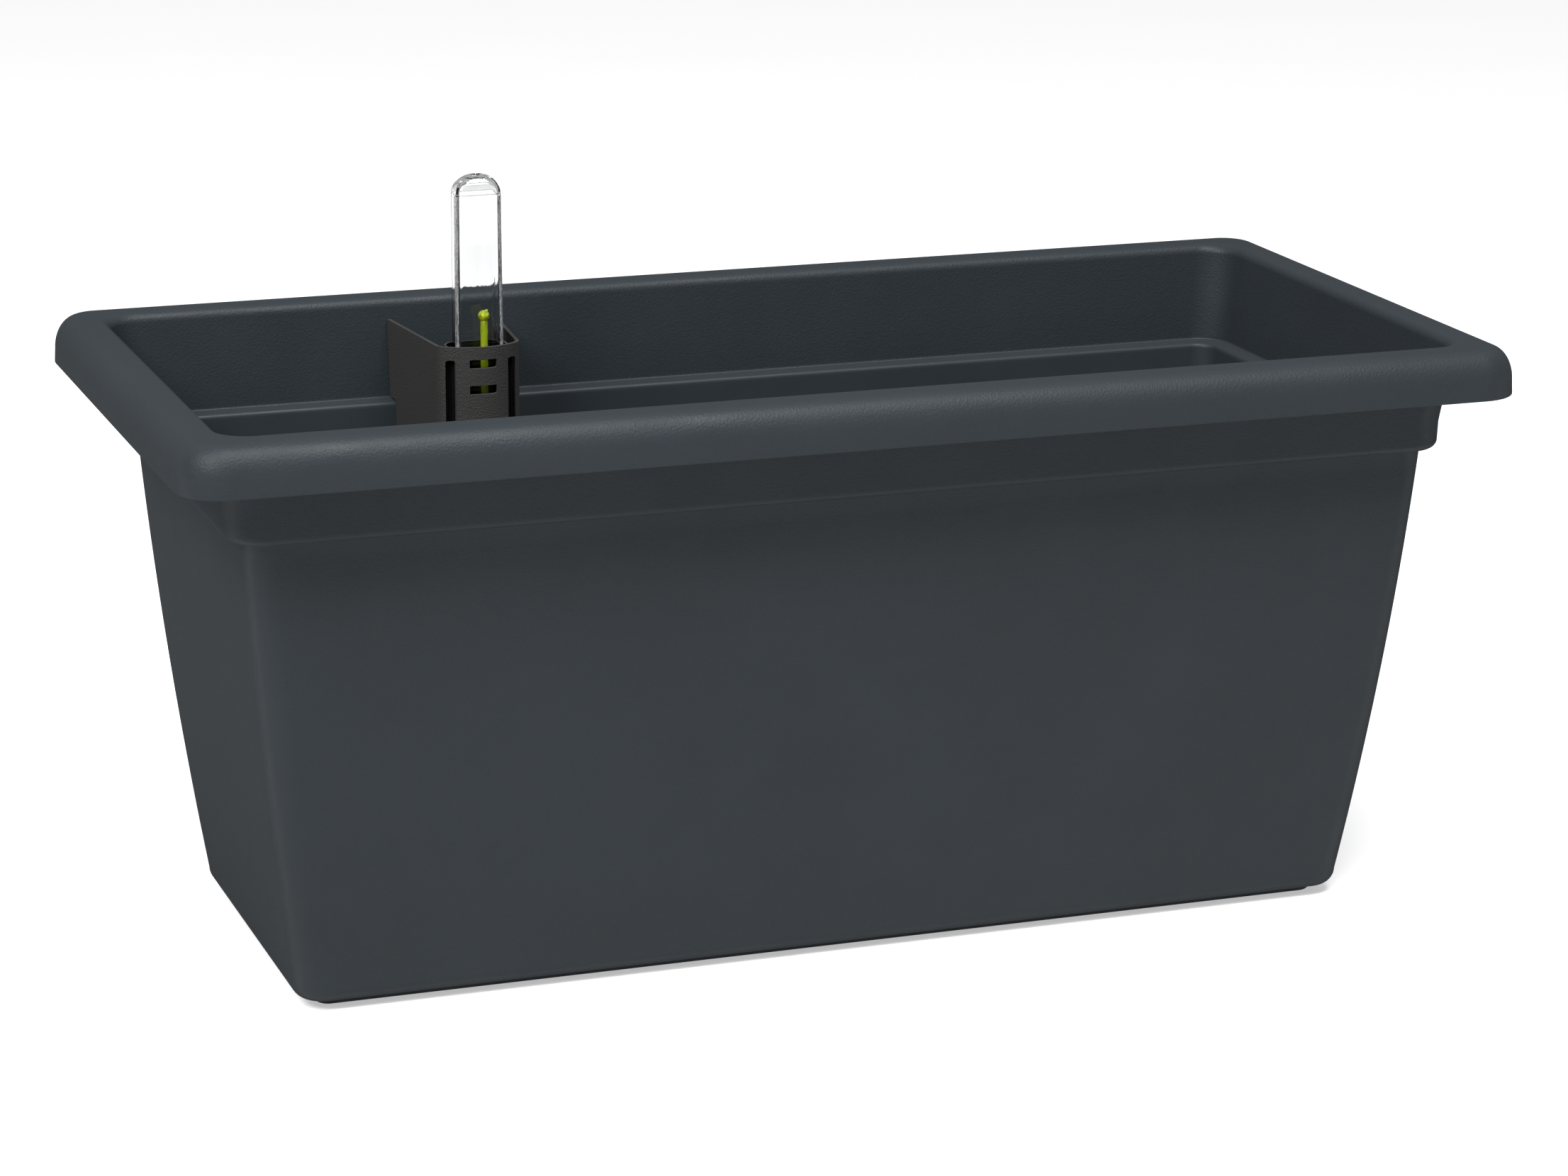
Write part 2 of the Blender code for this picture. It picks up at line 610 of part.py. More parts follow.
CAGE_Z0, CAGE_TOP = FLOOR_Z + 0.0020, DECK_Z + CLEAR + 0.0020
cage = finish("float_cage", loft("float_cage", [
    cage_ring(0, CAGE_Z0), cage_ring(0, CAGE_TOP),
    cage_ring(-CAGE_WALL, CAGE_TOP), cage_ring(-CAGE_WALL, CAGE_Z0)], loop=True), DECK)
flange = loft("cage_flange", [
    rounded_rect(0.0226, 0.0253, 0.004, DECK_Z + CLEAR, SHAFT_X, 0.1018, n=3),
    rounded_rect(0.0226, 0.0253, 0.004, CAGE_TOP, SHAFT_X, 0.1018, n=3)])
flange_ob = finish("cage_flange", flange, cutter=True, smooth=False)
boolean(cage, flange_ob, "UNION")
core = loft("cage_bore", [cage_ring(-CAGE_WALL, DECK_Z - 0.010), cage_ring(-CAGE_WALL, CAGE_TOP + 0.004)])
boolean(cage, finish("cage_bore", core, cutter=True, smooth=False))
water = []
for k in range(3):
    water.append((CAGE_X - 0.0120 + 0.0095 * k, CAGE_X - 0.0070 + 0.0095 * k,
                  CAGE_Y - 0.030, CAGE_Y - 0.006, 0.0180, 0.0720))
    water.append((CAGE_X - 0.0120 + 0.0095 * k, CAGE_X - 0.0070 + 0.0095 * k,
                  CAGE_Y + 0.006, CAGE_Y + 0.030, 0.0180, 0.0720))
boolean(cage, boxes("cage_slots", water))
boolean(cage, boxes("flange_slots", [
    (SHAFT_X - 0.0150 + 0.0120 * k, SHAFT_X - 0.0090 + 0.0120 * k, 0.1010, 0.1225,
     DECK_Z - 0.004, CAGE_TOP + 0.004) for k in range(3)]))


# ------------------------------------------------------------------ gauge
def tube_ring(d, z, top_shrink=0.0):
    hx = max(GAUGE_HX - d - top_shrink, 0.0012)
    hy = max(GAUGE_HY - d - top_shrink * GAUGE_HY / GAUGE_HX, 0.0012)
    r = min(max(GAUGE_R - d * 0.8 + top_shrink * 0.3, 0.0010), hx - 1e-5, hy - 1e-5)
    return rounded_rect(hx, hy, r, z, GAUGE_X, GAUGE_Y, n=4)


# the tube is open at both ends; its dome is a separate cap that sits on the seam
tube = finish("gauge_tube", loft("gauge_tube", [
    tube_ring(GAUGE_WALL + GAUGE_TAPER, GAUGE_Z1 - CLEAR), tube_ring(GAUGE_WALL, GAUGE_ZT),
    tube_ring(GAUGE_WALL, GAUGE_Z0), tube_ring(0, GAUGE_Z0),
    tube_ring(0, GAUGE_ZT), tube_ring(GAUGE_TAPER, GAUGE_Z1 - CLEAR)], loop=True), CLEARP)

dome_h = GAUGE_TOP - GAUGE_Z1
T = GAUGE_TAPER
outer_rings = [tube_ring(T, GAUGE_Z1)]
for a in quarter(6)[1:]:
    outer_rings.append(tube_ring(T, GAUGE_Z1 + dome_h * math.sin(a), (GAUGE_HX - T - 0.0034) * (1 - math.cos(a))))
outer_rings.append(tube_ring(T, GAUGE_TOP - 0.0008, GAUGE_HX - T - 0.0028))
rings_in = [tube_ring(T + GAUGE_WALL, GAUGE_TOP - 0.0028, GAUGE_HX - T - GAUGE_WALL - 0.0030)]
for a in reversed(quarter(5)[1:-1]):
    rings_in.append(tube_ring(T + GAUGE_WALL, GAUGE_Z1 + (dome_h - 0.0028) * math.sin(a),
                              (GAUGE_HX - T - GAUGE_WALL - 0.0030) * (1 - math.cos(a))))
rings_in.append(tube_ring(T + GAUGE_WALL, GAUGE_Z1))
# one skin: inner cap, down the inside, across the foot, up the outside, outer cap
cap = finish("gauge_cap", loft("gauge_cap", rings_in + outer_rings), CLEARP)

rod_profile = [(0.0, BALL_Z + BALL_R)]
for i in range(1, 7):
    a = math.pi / 2 - (math.pi / 2 + math.acos(ROD_R / BALL_R) * 1.0) * i / 6
    rod_profile.append((BALL_R * math.cos(a), BALL_Z + BALL_R * math.sin(a)))
rod_profile += [(ROD_R, 0.0440), (0.0050, 0.0430), (0.0050, FLOAT_Z1 + CLEAR), (0.0, FLOAT_Z1 + CLEAR)]
rod = turned("float_rod", rod_profile, 16, LIME)
rod.location = (ROD_X, ROD_Y, 0.0)


def float_ring(d, z):
    return rounded_rect(FLOAT_HX - d, FLOAT_HY - d, FLOAT_R - d, z, CAGE_X, CAGE_Y, n=4)


float_body = finish("float_body", loft("float_body", [
    float_ring(0.0015, FLOAT_Z0), float_ring(0, FLOAT_Z0 + 0.0015),
    float_ring(0, FLOAT_Z1 - 0.0015), float_ring(0.0015, FLOAT_Z1)]), FOAM)

# ------------------------------------------------------------------ overflow plug
axle = bpy.data.objects.new("drain_axis", None)
axle.location = (DRAIN_X, 0.0, DRAIN_Z)
axle.rotation_euler = (-math.pi / 2, 0.0, 0.0)      # local Z runs out of the back
parts.objects.link(axle)
seal_y0 = BOSS_Y1 + CLEAR
seal_y1 = seal_y0 + SEAL_T
seal = turned("drain_seal", [(PLUG_R + 0.0005, seal_y1), (0.0120, seal_y1), (0.0126, seal_y1 - 0.0006),
                             (0.0126, seal_y0 + 0.0006), (0.0120, seal_y0), (PLUG_R + 0.0005, seal_y0),
                             (PLUG_R + 0.0005, seal_y1)], 28, RUBBER)
seal.parent = axle
head_y0 = seal_y1 + CLEAR
head_y1 = head_y0 + 0.0030
plug = turned("drain_plug", [(0.0, head_y1), (PLUG_HEAD_R - 0.0008, head_y1),
                             (PLUG_HEAD_R, head_y1 - 0.0008), (PLUG_HEAD_R, head_y0),
                             (PLUG_R, head_y0), (PLUG_R, BOSS_Y0 + 0.0010),
                             (PLUG_R - 0.0012, BOSS_Y0 - 0.0010), (0.0, BOSS_Y0 - 0.0010)], 28, DECK)
freeze(plug)
plug.parent = axle
grip = boxes("plug_grip", [(DRAIN_X - 0.0110, DRAIN_X + 0.0110, head_y1 - 0.0010, head_y1 + 0.0080,
                            DRAIN_Z - 0.0022, DRAIN_Z + 0.0022)])
boolean(plug, grip, "UNION")
bpy.context.view_layer.update()
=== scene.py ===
import bpy
import bmesh
import math
from mathutils import Vector, Matrix


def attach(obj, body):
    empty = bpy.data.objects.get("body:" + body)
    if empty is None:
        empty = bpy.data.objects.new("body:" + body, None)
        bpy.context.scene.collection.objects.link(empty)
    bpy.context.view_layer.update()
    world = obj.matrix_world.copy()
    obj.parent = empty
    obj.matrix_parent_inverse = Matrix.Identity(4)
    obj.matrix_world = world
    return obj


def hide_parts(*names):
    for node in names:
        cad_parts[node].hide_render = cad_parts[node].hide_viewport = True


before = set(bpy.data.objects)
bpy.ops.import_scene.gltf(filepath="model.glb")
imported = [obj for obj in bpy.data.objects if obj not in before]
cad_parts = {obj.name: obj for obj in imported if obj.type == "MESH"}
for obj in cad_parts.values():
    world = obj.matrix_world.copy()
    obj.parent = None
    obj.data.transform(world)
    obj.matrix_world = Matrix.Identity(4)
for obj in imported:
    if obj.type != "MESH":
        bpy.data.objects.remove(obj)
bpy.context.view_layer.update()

scene = bpy.context.scene
scene.view_settings.view_transform = "Standard"
scene.view_settings.look = "None"

# ------------------------------------------------------------------ camera
cam_data = bpy.data.cameras.new("camera")
cam_data.sensor_fit = "HORIZONTAL"
cam_data.sensor_width = 36.0
cam_data.lens = 102.74
cam_data.clip_end = 60.0
cam = bpy.data.objects.new("camera", cam_data)
scene.collection.objects.link(cam)
cx = Vector((0.94221942, -0.33495944, 0.00497392))
cy = Vector((0.08420204, 0.25117375, 0.96427266))
cx.normalize()
cz = cx.cross(cy).normalized()
cy = cz.cross(cx).normalized()
m = Matrix((cx, cy, cz)).transposed().to_4x4()
m.translation = Vector((-0.87167452, -2.45951092, 0.90857082))
cam.matrix_world = m
scene.camera = cam

# ------------------------------------------------------------------ the design's sizes
HALF_L, HALF_W, RIM_Z, WALL = 0.4000, 0.19554, 0.35118, 0.0030
SKIRT_Z, SKIRT_DRAFT, ROUND_W, ROUND_H, RIM_CORNER = 0.3230, 0.00045, 0.01376, 0.01929, 0.02784
LIP_X, LIP_Y, LIP_R, INNER_X, INNER_Y = 0.0235, 0.0262, 0.0062, 0.0292, 0.0317
BAND_TOP, BAND_BOT, BAND_CORNER, STEP_Z, STEP_R = 0.02872, 0.0327, 0.0273, 0.2862, 0.0050
BODY_INSET, BODY_Z1, BODY_Z0 = 0.04195, 0.28942, 0.01486
TAPER_X, TAPER_Y, BULGE = 0.02966, 0.02912, 0.00276
CORNER_TOP, CORNER_BOT, EDGE_R = 0.01574, 0.01896, 0.00981
FOOT_X, FOOT_Y, FOOT_W, FOOT_Z, FLOOR_Z, SHELF_Z = 0.3147, 0.1108, 0.0120, 0.00505, 0.0080, 0.2893
DECK_Z, DECK_T, DECK_GAP, CLEAR = 0.0850, 0.0025, 0.0010, 0.0003
SHAFT_X, SHAFT_TOP, SHAFT_WALL, SHAFT_HALF, SHAFT_FRONT, SHAFT_BULGE = -0.1617, 0.3380, 0.0022, 0.0257, 0.0755, 0.0103
GAUGE_X, GAUGE_Y, GAUGE_HX, GAUGE_HY, GAUGE_R, GAUGE_WALL = -0.1606, 0.0815, 0.0143, 0.0093, 0.0046, 0.0018
GAUGE_TAPER, GAUGE_ZT = 0.0004, 0.3350
GAUGE_Z0, GAUGE_Z1, GAUGE_TOP = 0.2297, 0.4285, 0.4400
CARRIER_X, CARRIER_Y, CARRIER_HX, CARRIER_HY, CARRIER_R, CARRIER_WALL = -0.1614, 0.0827, 0.0192, 0.0132, 0.0115, 0.0015
CARRIER_Z0, CARRIER_TOP = 0.2260, 0.3365
ROD_X, ROD_Y, ROD_R, BALL_Z, BALL_R = -0.1570, 0.0812, 0.0022, 0.3540, 0.0035
CAGE_X, CAGE_Y, CAGE_HX, CAGE_HY, CAGE_R, CAGE_WALL = -0.1610, 0.0855, 0.0205, 0.0125, 0.0080, 0.0014
FLOAT_HX, FLOAT_HY, FLOAT_R, FLOAT_Z0, FLOAT_Z1 = 0.0181, 0.0101, 0.0060, 0.0110, 0.0410
DRAIN_X, DRAIN_Z, BOSS_R, BOSS_Y0, BOSS_Y1 = 0.2600, 0.0520, 0.0170, 0.1225, 0.1330
DRAIN_HOLE_R, PLUG_R, PLUG_HEAD_R, SEAL_T = 0.0082, 0.0077, 0.0135, 0.0020
CUPS = ((-0.2760, -0.0100), (-0.0560, -0.0100), (0.0900, 0.0), (0.2400, 0.0))
CUP_HOLE, PEG_R = 0.0300, 0.0040
LEGS = ((-0.3040, -0.0990), (-0.3040, 0.0990), (-0.0400, -0.0990), (-0.0400, 0.0990),
        (0.0400, -0.0990), (0.0400, 0.0990), (0.3040, -0.0990), (0.3040, 0.0990))
OPEN_X, OPEN_Y0, OPEN_Y1 = 0.0215, 0.0715, 0.1255

# ------------------------------------------------------------------ node materials


class Nodes:
    def __init__(self, name):
        self.mat = bpy.data.materials.new(name)
        self.mat.use_nodes = True
        self.tree = self.mat.node_tree
        self.bsdf = self.tree.nodes["Principled BSDF"]
        self.coord = self.add("ShaderNodeTexCoord").outputs["Object"]

    def add(self, kind, **values):
        n = self.tree.nodes.new(kind)
        for k, v in values.items():
            setattr(n, k, v)
        return n

    def put(self, node, socket, value):
        s = node.inputs[socket]
        if hasattr(value, "is_output") or isinstance(value, bpy.types.NodeSocket):
            self.tree.links.new(value, s)
        else:
            s.default_value = value

    def noise(self, scale, detail=2.0, rough=0.5, coord=None):
        n = self.add("ShaderNodeTexNoise")
        self.put(n, "Vector", coord or self.coord)
        n.inputs["Scale"].default_value = scale
        n.inputs["Detail"].default_value = detail
        n.inputs["Roughness"].default_value = rough
        return n.outputs["Fac"]

    def voronoi(self, scale, smooth=0.6, coord=None):
        n = self.add("ShaderNodeTexVoronoi")
        n.feature = "SMOOTH_F1"
        self.put(n, "Vector", coord or self.coord)
        n.inputs["Scale"].default_value = scale
        n.inputs["Smoothness"].default_value = smooth
        return n.outputs["Distance"]

    def stretch(self, sx, sy, sz):
        n = self.add("ShaderNodeMapping")
        self.put(n, "Vector", self.coord)
        n.inputs["Scale"].default_value = (sx, sy, sz)
        return n.outputs["Vector"]

    def math(self, op, a, b):
        n = self.add("ShaderNodeMath", operation=op)
        self.put(n, 0, a)
        self.put(n, 1, b)
        return n.outputs[0]

    def span(self, fac, lo, hi, a=0.0, b=1.0):
        n = self.add("ShaderNodeMapRange")
        self.put(n, "Value", fac)
        n.inputs["From Min"].default_value = a
        n.inputs["From Max"].default_value = b
        n.inputs["To Min"].default_value = lo
        n.inputs["To Max"].default_value = hi
        return n.outputs["Result"]

    def blend(self, fac, c1, c2):
        n = self.add("ShaderNodeMix", data_type="RGBA")
        self.put(n, 0, fac)
        for s, c in ((6, c1), (7, c2)):
            if isinstance(c, bpy.types.NodeSocket):
                self.tree.links.new(c, n.inputs[s])
            else:
                n.inputs[s].default_value = (*c, 1.0)
        return n.outputs[2]

    def bump(self, height, strength, distance, normal=None):
        n = self.add("ShaderNodeBump")
        self.put(n, "Height", height)
        n.inputs["Strength"].default_value = strength
        n.inputs["Distance"].default_value = distance
        if normal is not None:
            self.put(n, "Normal", normal)
        return n.outputs["Normal"]


def tint(c, k):
    return tuple(min(1.0, v * k) for v in c)


def moulded(name, color, rough, grain=0.0, cell=900.0, depth=0.00012, vary=0.06,
            flow=0.35, scuff=0.0, specular=0.5, graze=0.0):
    """Injection-moulded plastic: cloudy colour, uneven gloss, a grained skin."""
    n = Nodes(name)
    cloud = n.noise(9.0, 3.0, 0.55)
    speck = n.noise(420.0, 2.0, 0.6)
    base = n.blend(n.span(cloud, 0.0, 1.0, 0.3, 0.7), tint(color, 1 - vary), tint(color, 1 + vary))
    base = n.blend(n.math("MULTIPLY", n.span(speck, 0.0, 1.0, 0.35, 0.65), 0.35),
                   base, tint(color, 1 + 2.2 * vary))
    if scuff:
        streak = n.noise(55.0, 4.0, 0.7, n.stretch(1.0, 1.0, 4.5))
        base = n.blend(n.math("MULTIPLY", n.span(streak, 0.0, 1.0, 0.58, 0.80), scuff),
                       base, tint(color, 1.5))
    n.put(n.bsdf, "Base Color", base)
    gloss = n.noise(28.0, 4.0, 0.6)
    gloss = n.span(gloss, rough - 0.05, rough + 0.05, 0.3, 0.7)
    if graze:
        # the skin's grain scatters light that comes in flat, so the gloss fades towards the edge
        lw = n.add("ShaderNodeLayerWeight")
        lw.inputs["Blend"].default_value = 0.5
        fade = n.math("MULTIPLY", n.span(lw.outputs["Facing"], 0.0, 1.0, 0.35, 0.80), graze)
        gloss = n.math("ADD", gloss, n.math("MULTIPLY", fade, n.math("SUBTRACT", 1.0, gloss)))
    n.put(n.bsdf, "Roughness", gloss)
    n.bsdf.inputs["Specular IOR Level"].default_value = specular
    n.bsdf.inputs["IOR"].default_value = 1.49
    wave = n.bump(n.noise(22.0, 2.0, 0.5), flow, 0.0006)
    if grain:
        pebble = n.voronoi(cell, 0.7)
        crease = n.noise(cell * 0.9, 3.0, 0.55)
        mixed = n.math("ADD", n.math("MULTIPLY", pebble, 0.9), n.math("MULTIPLY", crease, 0.7))
        wave = n.bump(mixed, grain, depth, wave)
    else:
        wave = n.bump(n.noise(700.0, 2.0, 0.5), 0.25, 0.00004, wave)
    n.put(n.bsdf, "Normal", wave)
    return n.mat


SHELL = moulded("shell_plastic_skin", (0.0116, 0.0150, 0.0176), 0.50, grain=0.80, cell=820.0,
                depth=0.00019, specular=0.13, graze=1.0)
INSIDE = moulded("shell_inner_skin", (0.0118, 0.0152, 0.0178), 0.46, grain=0.15, cell=900.0,
                 depth=0.00010, specular=0.13, graze=1.0)
SHAFT = moulded("shaft_plastic_skin", (0.0205, 0.0202, 0.0199), 0.50, grain=1.0, cell=1050.0,
                depth=0.00026, specular=0.14, graze=0.8)
DECK = moulded("deck_plastic_skin", (0.015, 0.015, 0.016), 0.50, grain=0.25, cell=1100.0, specular=0.2, graze=0.8)
BLACK = moulded("black_plastic_skin", (0.0030, 0.0030, 0.0033), 0.16, flow=0.5, specular=0.35)
LIME = moulded("lime_plastic_skin", (0.400, 0.500, 0.008), 0.30, vary=0.03, flow=0.25)
LIME.node_tree.nodes["Principled BSDF"].inputs["Subsurface Weight"].default_value = 0.25
LIME.node_tree.nodes["Principled BSDF"].inputs["Subsurface Radius"].default_value = (0.0012, 0.0014, 0.0003)
PLUG = moulded("plug_plastic_skin", (0.0129, 0.0160, 0.0186), 0.42, grain=0.15, cell=1200.0, specular=0.2, graze=0.8)
RUBBER = moulded("seal_rubber_skin", (0.012, 0.012, 0.012), 0.72, vary=0.15)


def foam():
    n = Nodes("float_foam_skin")
    beads = n.voronoi(420.0, 0.25)
    n.put(n.bsdf, "Base Color", n.blend(n.span(beads, 0.0, 1.0, 0.15, 0.6),
                                        (0.78, 0.78, 0.74), (0.62, 0.62, 0.59)))
    n.put(n.bsdf, "Roughness", n.span(n.noise(60.0, 3.0), 0.5, 0.7, 0.3, 0.7))
    n.put(n.bsdf, "Normal", n.bump(beads, 0.6, 0.0004))
    return n.mat


FOAM = foam()


def clear():
    n = Nodes("clear_plastic_skin")
    b = n.bsdf
    haze = n.noise(70.0, 2.0, 0.5, n.stretch(1.0, 1.0, 0.05))
    n.put(b, "Base Color", n.blend(n.span(haze, 0.0, 1.0, 0.3, 0.7), (0.940, 0.945, 0.948), (0.985, 0.988, 0.990)))
    b.inputs["Specular IOR Level"].default_value = 0.35
    b.inputs["Transmission Weight"].default_value = 1.0
    b.inputs["IOR"].default_value = 1.49
    streak = n.noise(160.0, 3.0, 0.6, n.stretch(1.0, 1.0, 0.06))
    n.put(b, "Roughness", n.span(streak, 0.0, 0.05, 0.35, 0.75))
    flow = n.noise(90.0, 2.0, 0.5, n.stretch(1.0, 1.0, 0.10))
    ripple = n.bump(n.noise(900.0, 2.0, 0.5, n.stretch(1.0, 1.0, 0.45)), 0.22, 0.00006)
    n.put(b, "Normal", n.bump(flow, 0.30, 0.0004, ripple))
    return n.mat


CLEARP = clear()


def painted_streaks():
    """Painted shade and painted highlight: part see-through streaky colour, from dark to silver, standing in for the
    clear tube's refraction streaks and glints.
    """
    n = Nodes("painted_streak_skin")
    b = n.bsdf
    long = n.noise(420.0, 4.0, 0.65, n.stretch(1.0, 1.0, 0.30))
    fine = n.noise(1300.0, 3.0, 0.6, n.stretch(1.0, 1.0, 0.45))
    mix = n.math("ADD", n.math("MULTIPLY", long, 0.4), n.math("MULTIPLY", fine, 0.6))
    # painted shade and painted highlight: streaks blend from near black to silver
    n.put(b, "Base Color", n.blend(n.span(mix, 0.0, 1.0, 0.42, 0.62), (0.060, 0.062, 0.064), (0.56, 0.57, 0.58)))
    n.put(b, "Roughness", n.span(long, 0.22, 0.45))
    b.inputs["Specular IOR Level"].default_value = 0.5
    b.inputs["Transmission Weight"].default_value = 0.45
    return n.mat


PAINTED_STREAKS = painted_streaks()

# ------------------------------------------------------------------ mesh helpers
model = bpy.data.collections.new("self_watering_planter_model")
scene.collection.children.link(model)


def to_mesh(name, bm):
    bmesh.ops.recalc_face_normals(bm, faces=bm.faces)
    me = bpy.data.meshes.new(name)
    bm.to_mesh(me)
    bm.free()
    return me


def smooth(me, angle=32.0):
    me.shade_smooth()
    me.set_sharp_from_angle(angle=math.radians(angle))


def make(name, me, mat=None):
    ob = bpy.data.objects.new(name, me)
    model.objects.link(ob)
    if mat:
        me.materials.clear()
        me.materials.append(mat)
    return ob


def bake(ob, angle=32.0):
    """Apply an object's modifiers, in order, into its own mesh."""
    bpy.context.view_layer.update()
    dg = bpy.context.evaluated_depsgraph_get()
    me = bpy.data.meshes.new_from_object(ob.evaluated_get(dg), depsgraph=dg)
    me.name = ob.name
    ob.modifiers.clear()
    ob.data = me
    smooth(me, angle)
    return ob


def cut(ob, tools, op="DIFFERENCE"):
    for t in tools:
        md = ob.modifiers.new(t.name, "BOOLEAN")
        md.operation, md.solver, md.object = op, "EXACT", t
    bake(ob)
    for t in tools:
        bpy.data.objects.remove(t, do_unlink=True)
    return ob


def tidy(ob):
    """Weld boolean leftovers and dissolve the flat seams they left."""
    bm = bmesh.new()
    bm.from_mesh(ob.data)
    bmesh.ops.remove_doubles(bm, verts=bm.verts, dist=0.000004)
    bmesh.ops.dissolve_limit(bm, angle_limit=math.radians(0.4), verts=bm.verts, edges=bm.edges)
    bmesh.ops.dissolve_degenerate(bm, dist=0.000004, edges=bm.edges)
    bm.to_mesh(ob.data)
    bm.free()
    return ob


def even(ob):
    """Let the large faces set the shading, so that cut-outs don't dent it."""
    md = ob.modifiers.new("even", "WEIGHTED_NORMAL")
    md.mode, md.keep_sharp, md.weight = "FACE_AREA", True, 50
    bpy.context.view_layer.update()
    dg = bpy.context.evaluated_depsgraph_get()
    me = bpy.data.meshes.new_from_object(ob.evaluated_get(dg), depsgraph=dg)
    me.name = ob.name
    ob.modifiers.clear()
    ob.data = me
    return ob


def bevel(ob, width, segments=2, angle=40.0, clamp=True):
    md = ob.modifiers.new("edge", "BEVEL")
    md.width, md.segments = width, segments
    md.limit_method, md.angle_limit = "ANGLE", math.radians(angle)
    md.harden_normals = False
    md.use_clamp_overlap = clamp
    md.miter_outer = "MITER_ARC"
    bake(ob)
    return ob


def rounded_rect(hx, hy, r, z, cx=0.0, cy=0.0, n=16):
    pts = []
    for k, (sx, sy) in enumerate(((1, 1), (-1, 1), (-1, -1), (1, -1))):
        for i in range(n + 1):
            a = math.pi / 2 * (k + i / n)
            pts.append((cx + sx * (hx - r) + r * math.cos(a),
                        cy + sy * (hy - r) + r * math.sin(a), z))
    return pts


def loft(name, rings, loop=False):
    bm = bmesh.new()
    rows = [[bm.verts.new(p) for p in ring] for ring in rings]
    k = len(rows[0])
    pairs = list(zip(rows[:-1], rows[1:]))
    if loop:
        pairs.append((rows[-1], rows[0]))
    for a, b in pairs:
        for i in range(k):
            j = (i + 1) % k
            bm.faces.new((a[i], a[j], b[j], b[i]))
    if not loop:
        bm.faces.new(rows[0])
        bm.faces.new(rows[-1])
    return to_mesh(name, bm)


def lathe(name, profile, steps=48, centre=(0.0, 0.0), out=None):
    """Turn a profile of (radius, height); a profile may start and end on the axis.
    out maps a point of the upright body to its place."""
    bm = bmesh.new()
    rows = []
    for r, z in profile:
        if r < 1e-7:
            rows.append([bm.verts.new((0, 0, z))])
        else:
            rows.append([bm.verts.new((r * math.cos(2 * math.pi * i / steps),
                                       r * math.sin(2 * math.pi * i / steps), z))
                         for i in range(steps)])
    closed = profile[0][0] > 1e-7 and profile[-1][0] > 1e-7
    pairs = list(zip(rows[:-1], rows[1:])) + ([(rows[-1], rows[0])] if closed else [])
    for a, b in pairs:
        for i in range(steps):
            j = (i + 1) % steps
            if len(a) == 1 and len(b) == 1:
                continue
            if len(a) == 1:
                bm.faces.new((a[0], b[j], b[i]))
            elif len(b) == 1:
                bm.faces.new((a[i], a[j], b[0]))
            else:
                bm.faces.new((a[i], a[j], b[j], b[i]))
    for v in bm.verts:
        v.co = Vector(out(v.co)) if out else Vector((v.co.x + centre[0], v.co.y + centre[1], v.co.z))
    return to_mesh(name, bm)


def prism(name, loop, a0, a1, axis="Z"):
    """Extrude a flat outline of (u, v) between two heights along an axis."""
    place = {"Z": lambda u, v, a: (u, v, a), "Y": lambda u, v, a: (u, a, v),
             "X": lambda u, v, a: (a, u, v)}[axis]
    bm = bmesh.new()
    low = [bm.verts.new(place(u, v, a0)) for u, v in loop]
    top = [bm.verts.new(place(u, v, a1)) for u, v in loop]
    bm.faces.new(low)
    bm.faces.new(top)
    for i in range(len(loop)):
        j = (i + 1) % len(loop)
        bm.faces.new((low[i], low[j], top[j], top[i]))
    return to_mesh(name, bm)


def many_prisms(name, loops, a0, a1, axis="Z"):
    bm = bmesh.new()
    for loop in loops:
        me = prism("tmp", loop, a0, a1, axis)
        bm.from_mesh(me)
        bpy.data.meshes.remove(me)
    return make(name, to_mesh(name, bm))


def stadium(cx, cy, lx, ly, r, n=4):
    return [(x, y) for x, y, z in rounded_rect(lx / 2, ly / 2, r, 0, cx, cy, n)]


def quarter(n):
    return [math.pi / 2 * i / n for i in range(n + 1)]


# ------------------------------------------------------------------ trough
def body_half(z):
    u = (z - BODY_Z0) / (BODY_Z1 - BODY_Z0)
    swell = BULGE * 4 * u * (1 - u)
    return (HALF_L - BODY_INSET - TAPER_X * (1 - u) + swell,
            HALF_W - BODY_INSET - TAPER_Y * (1 - u) + swell,
            CORNER_TOP + (CORNER_BOT - CORNER_TOP) * (1 - u))


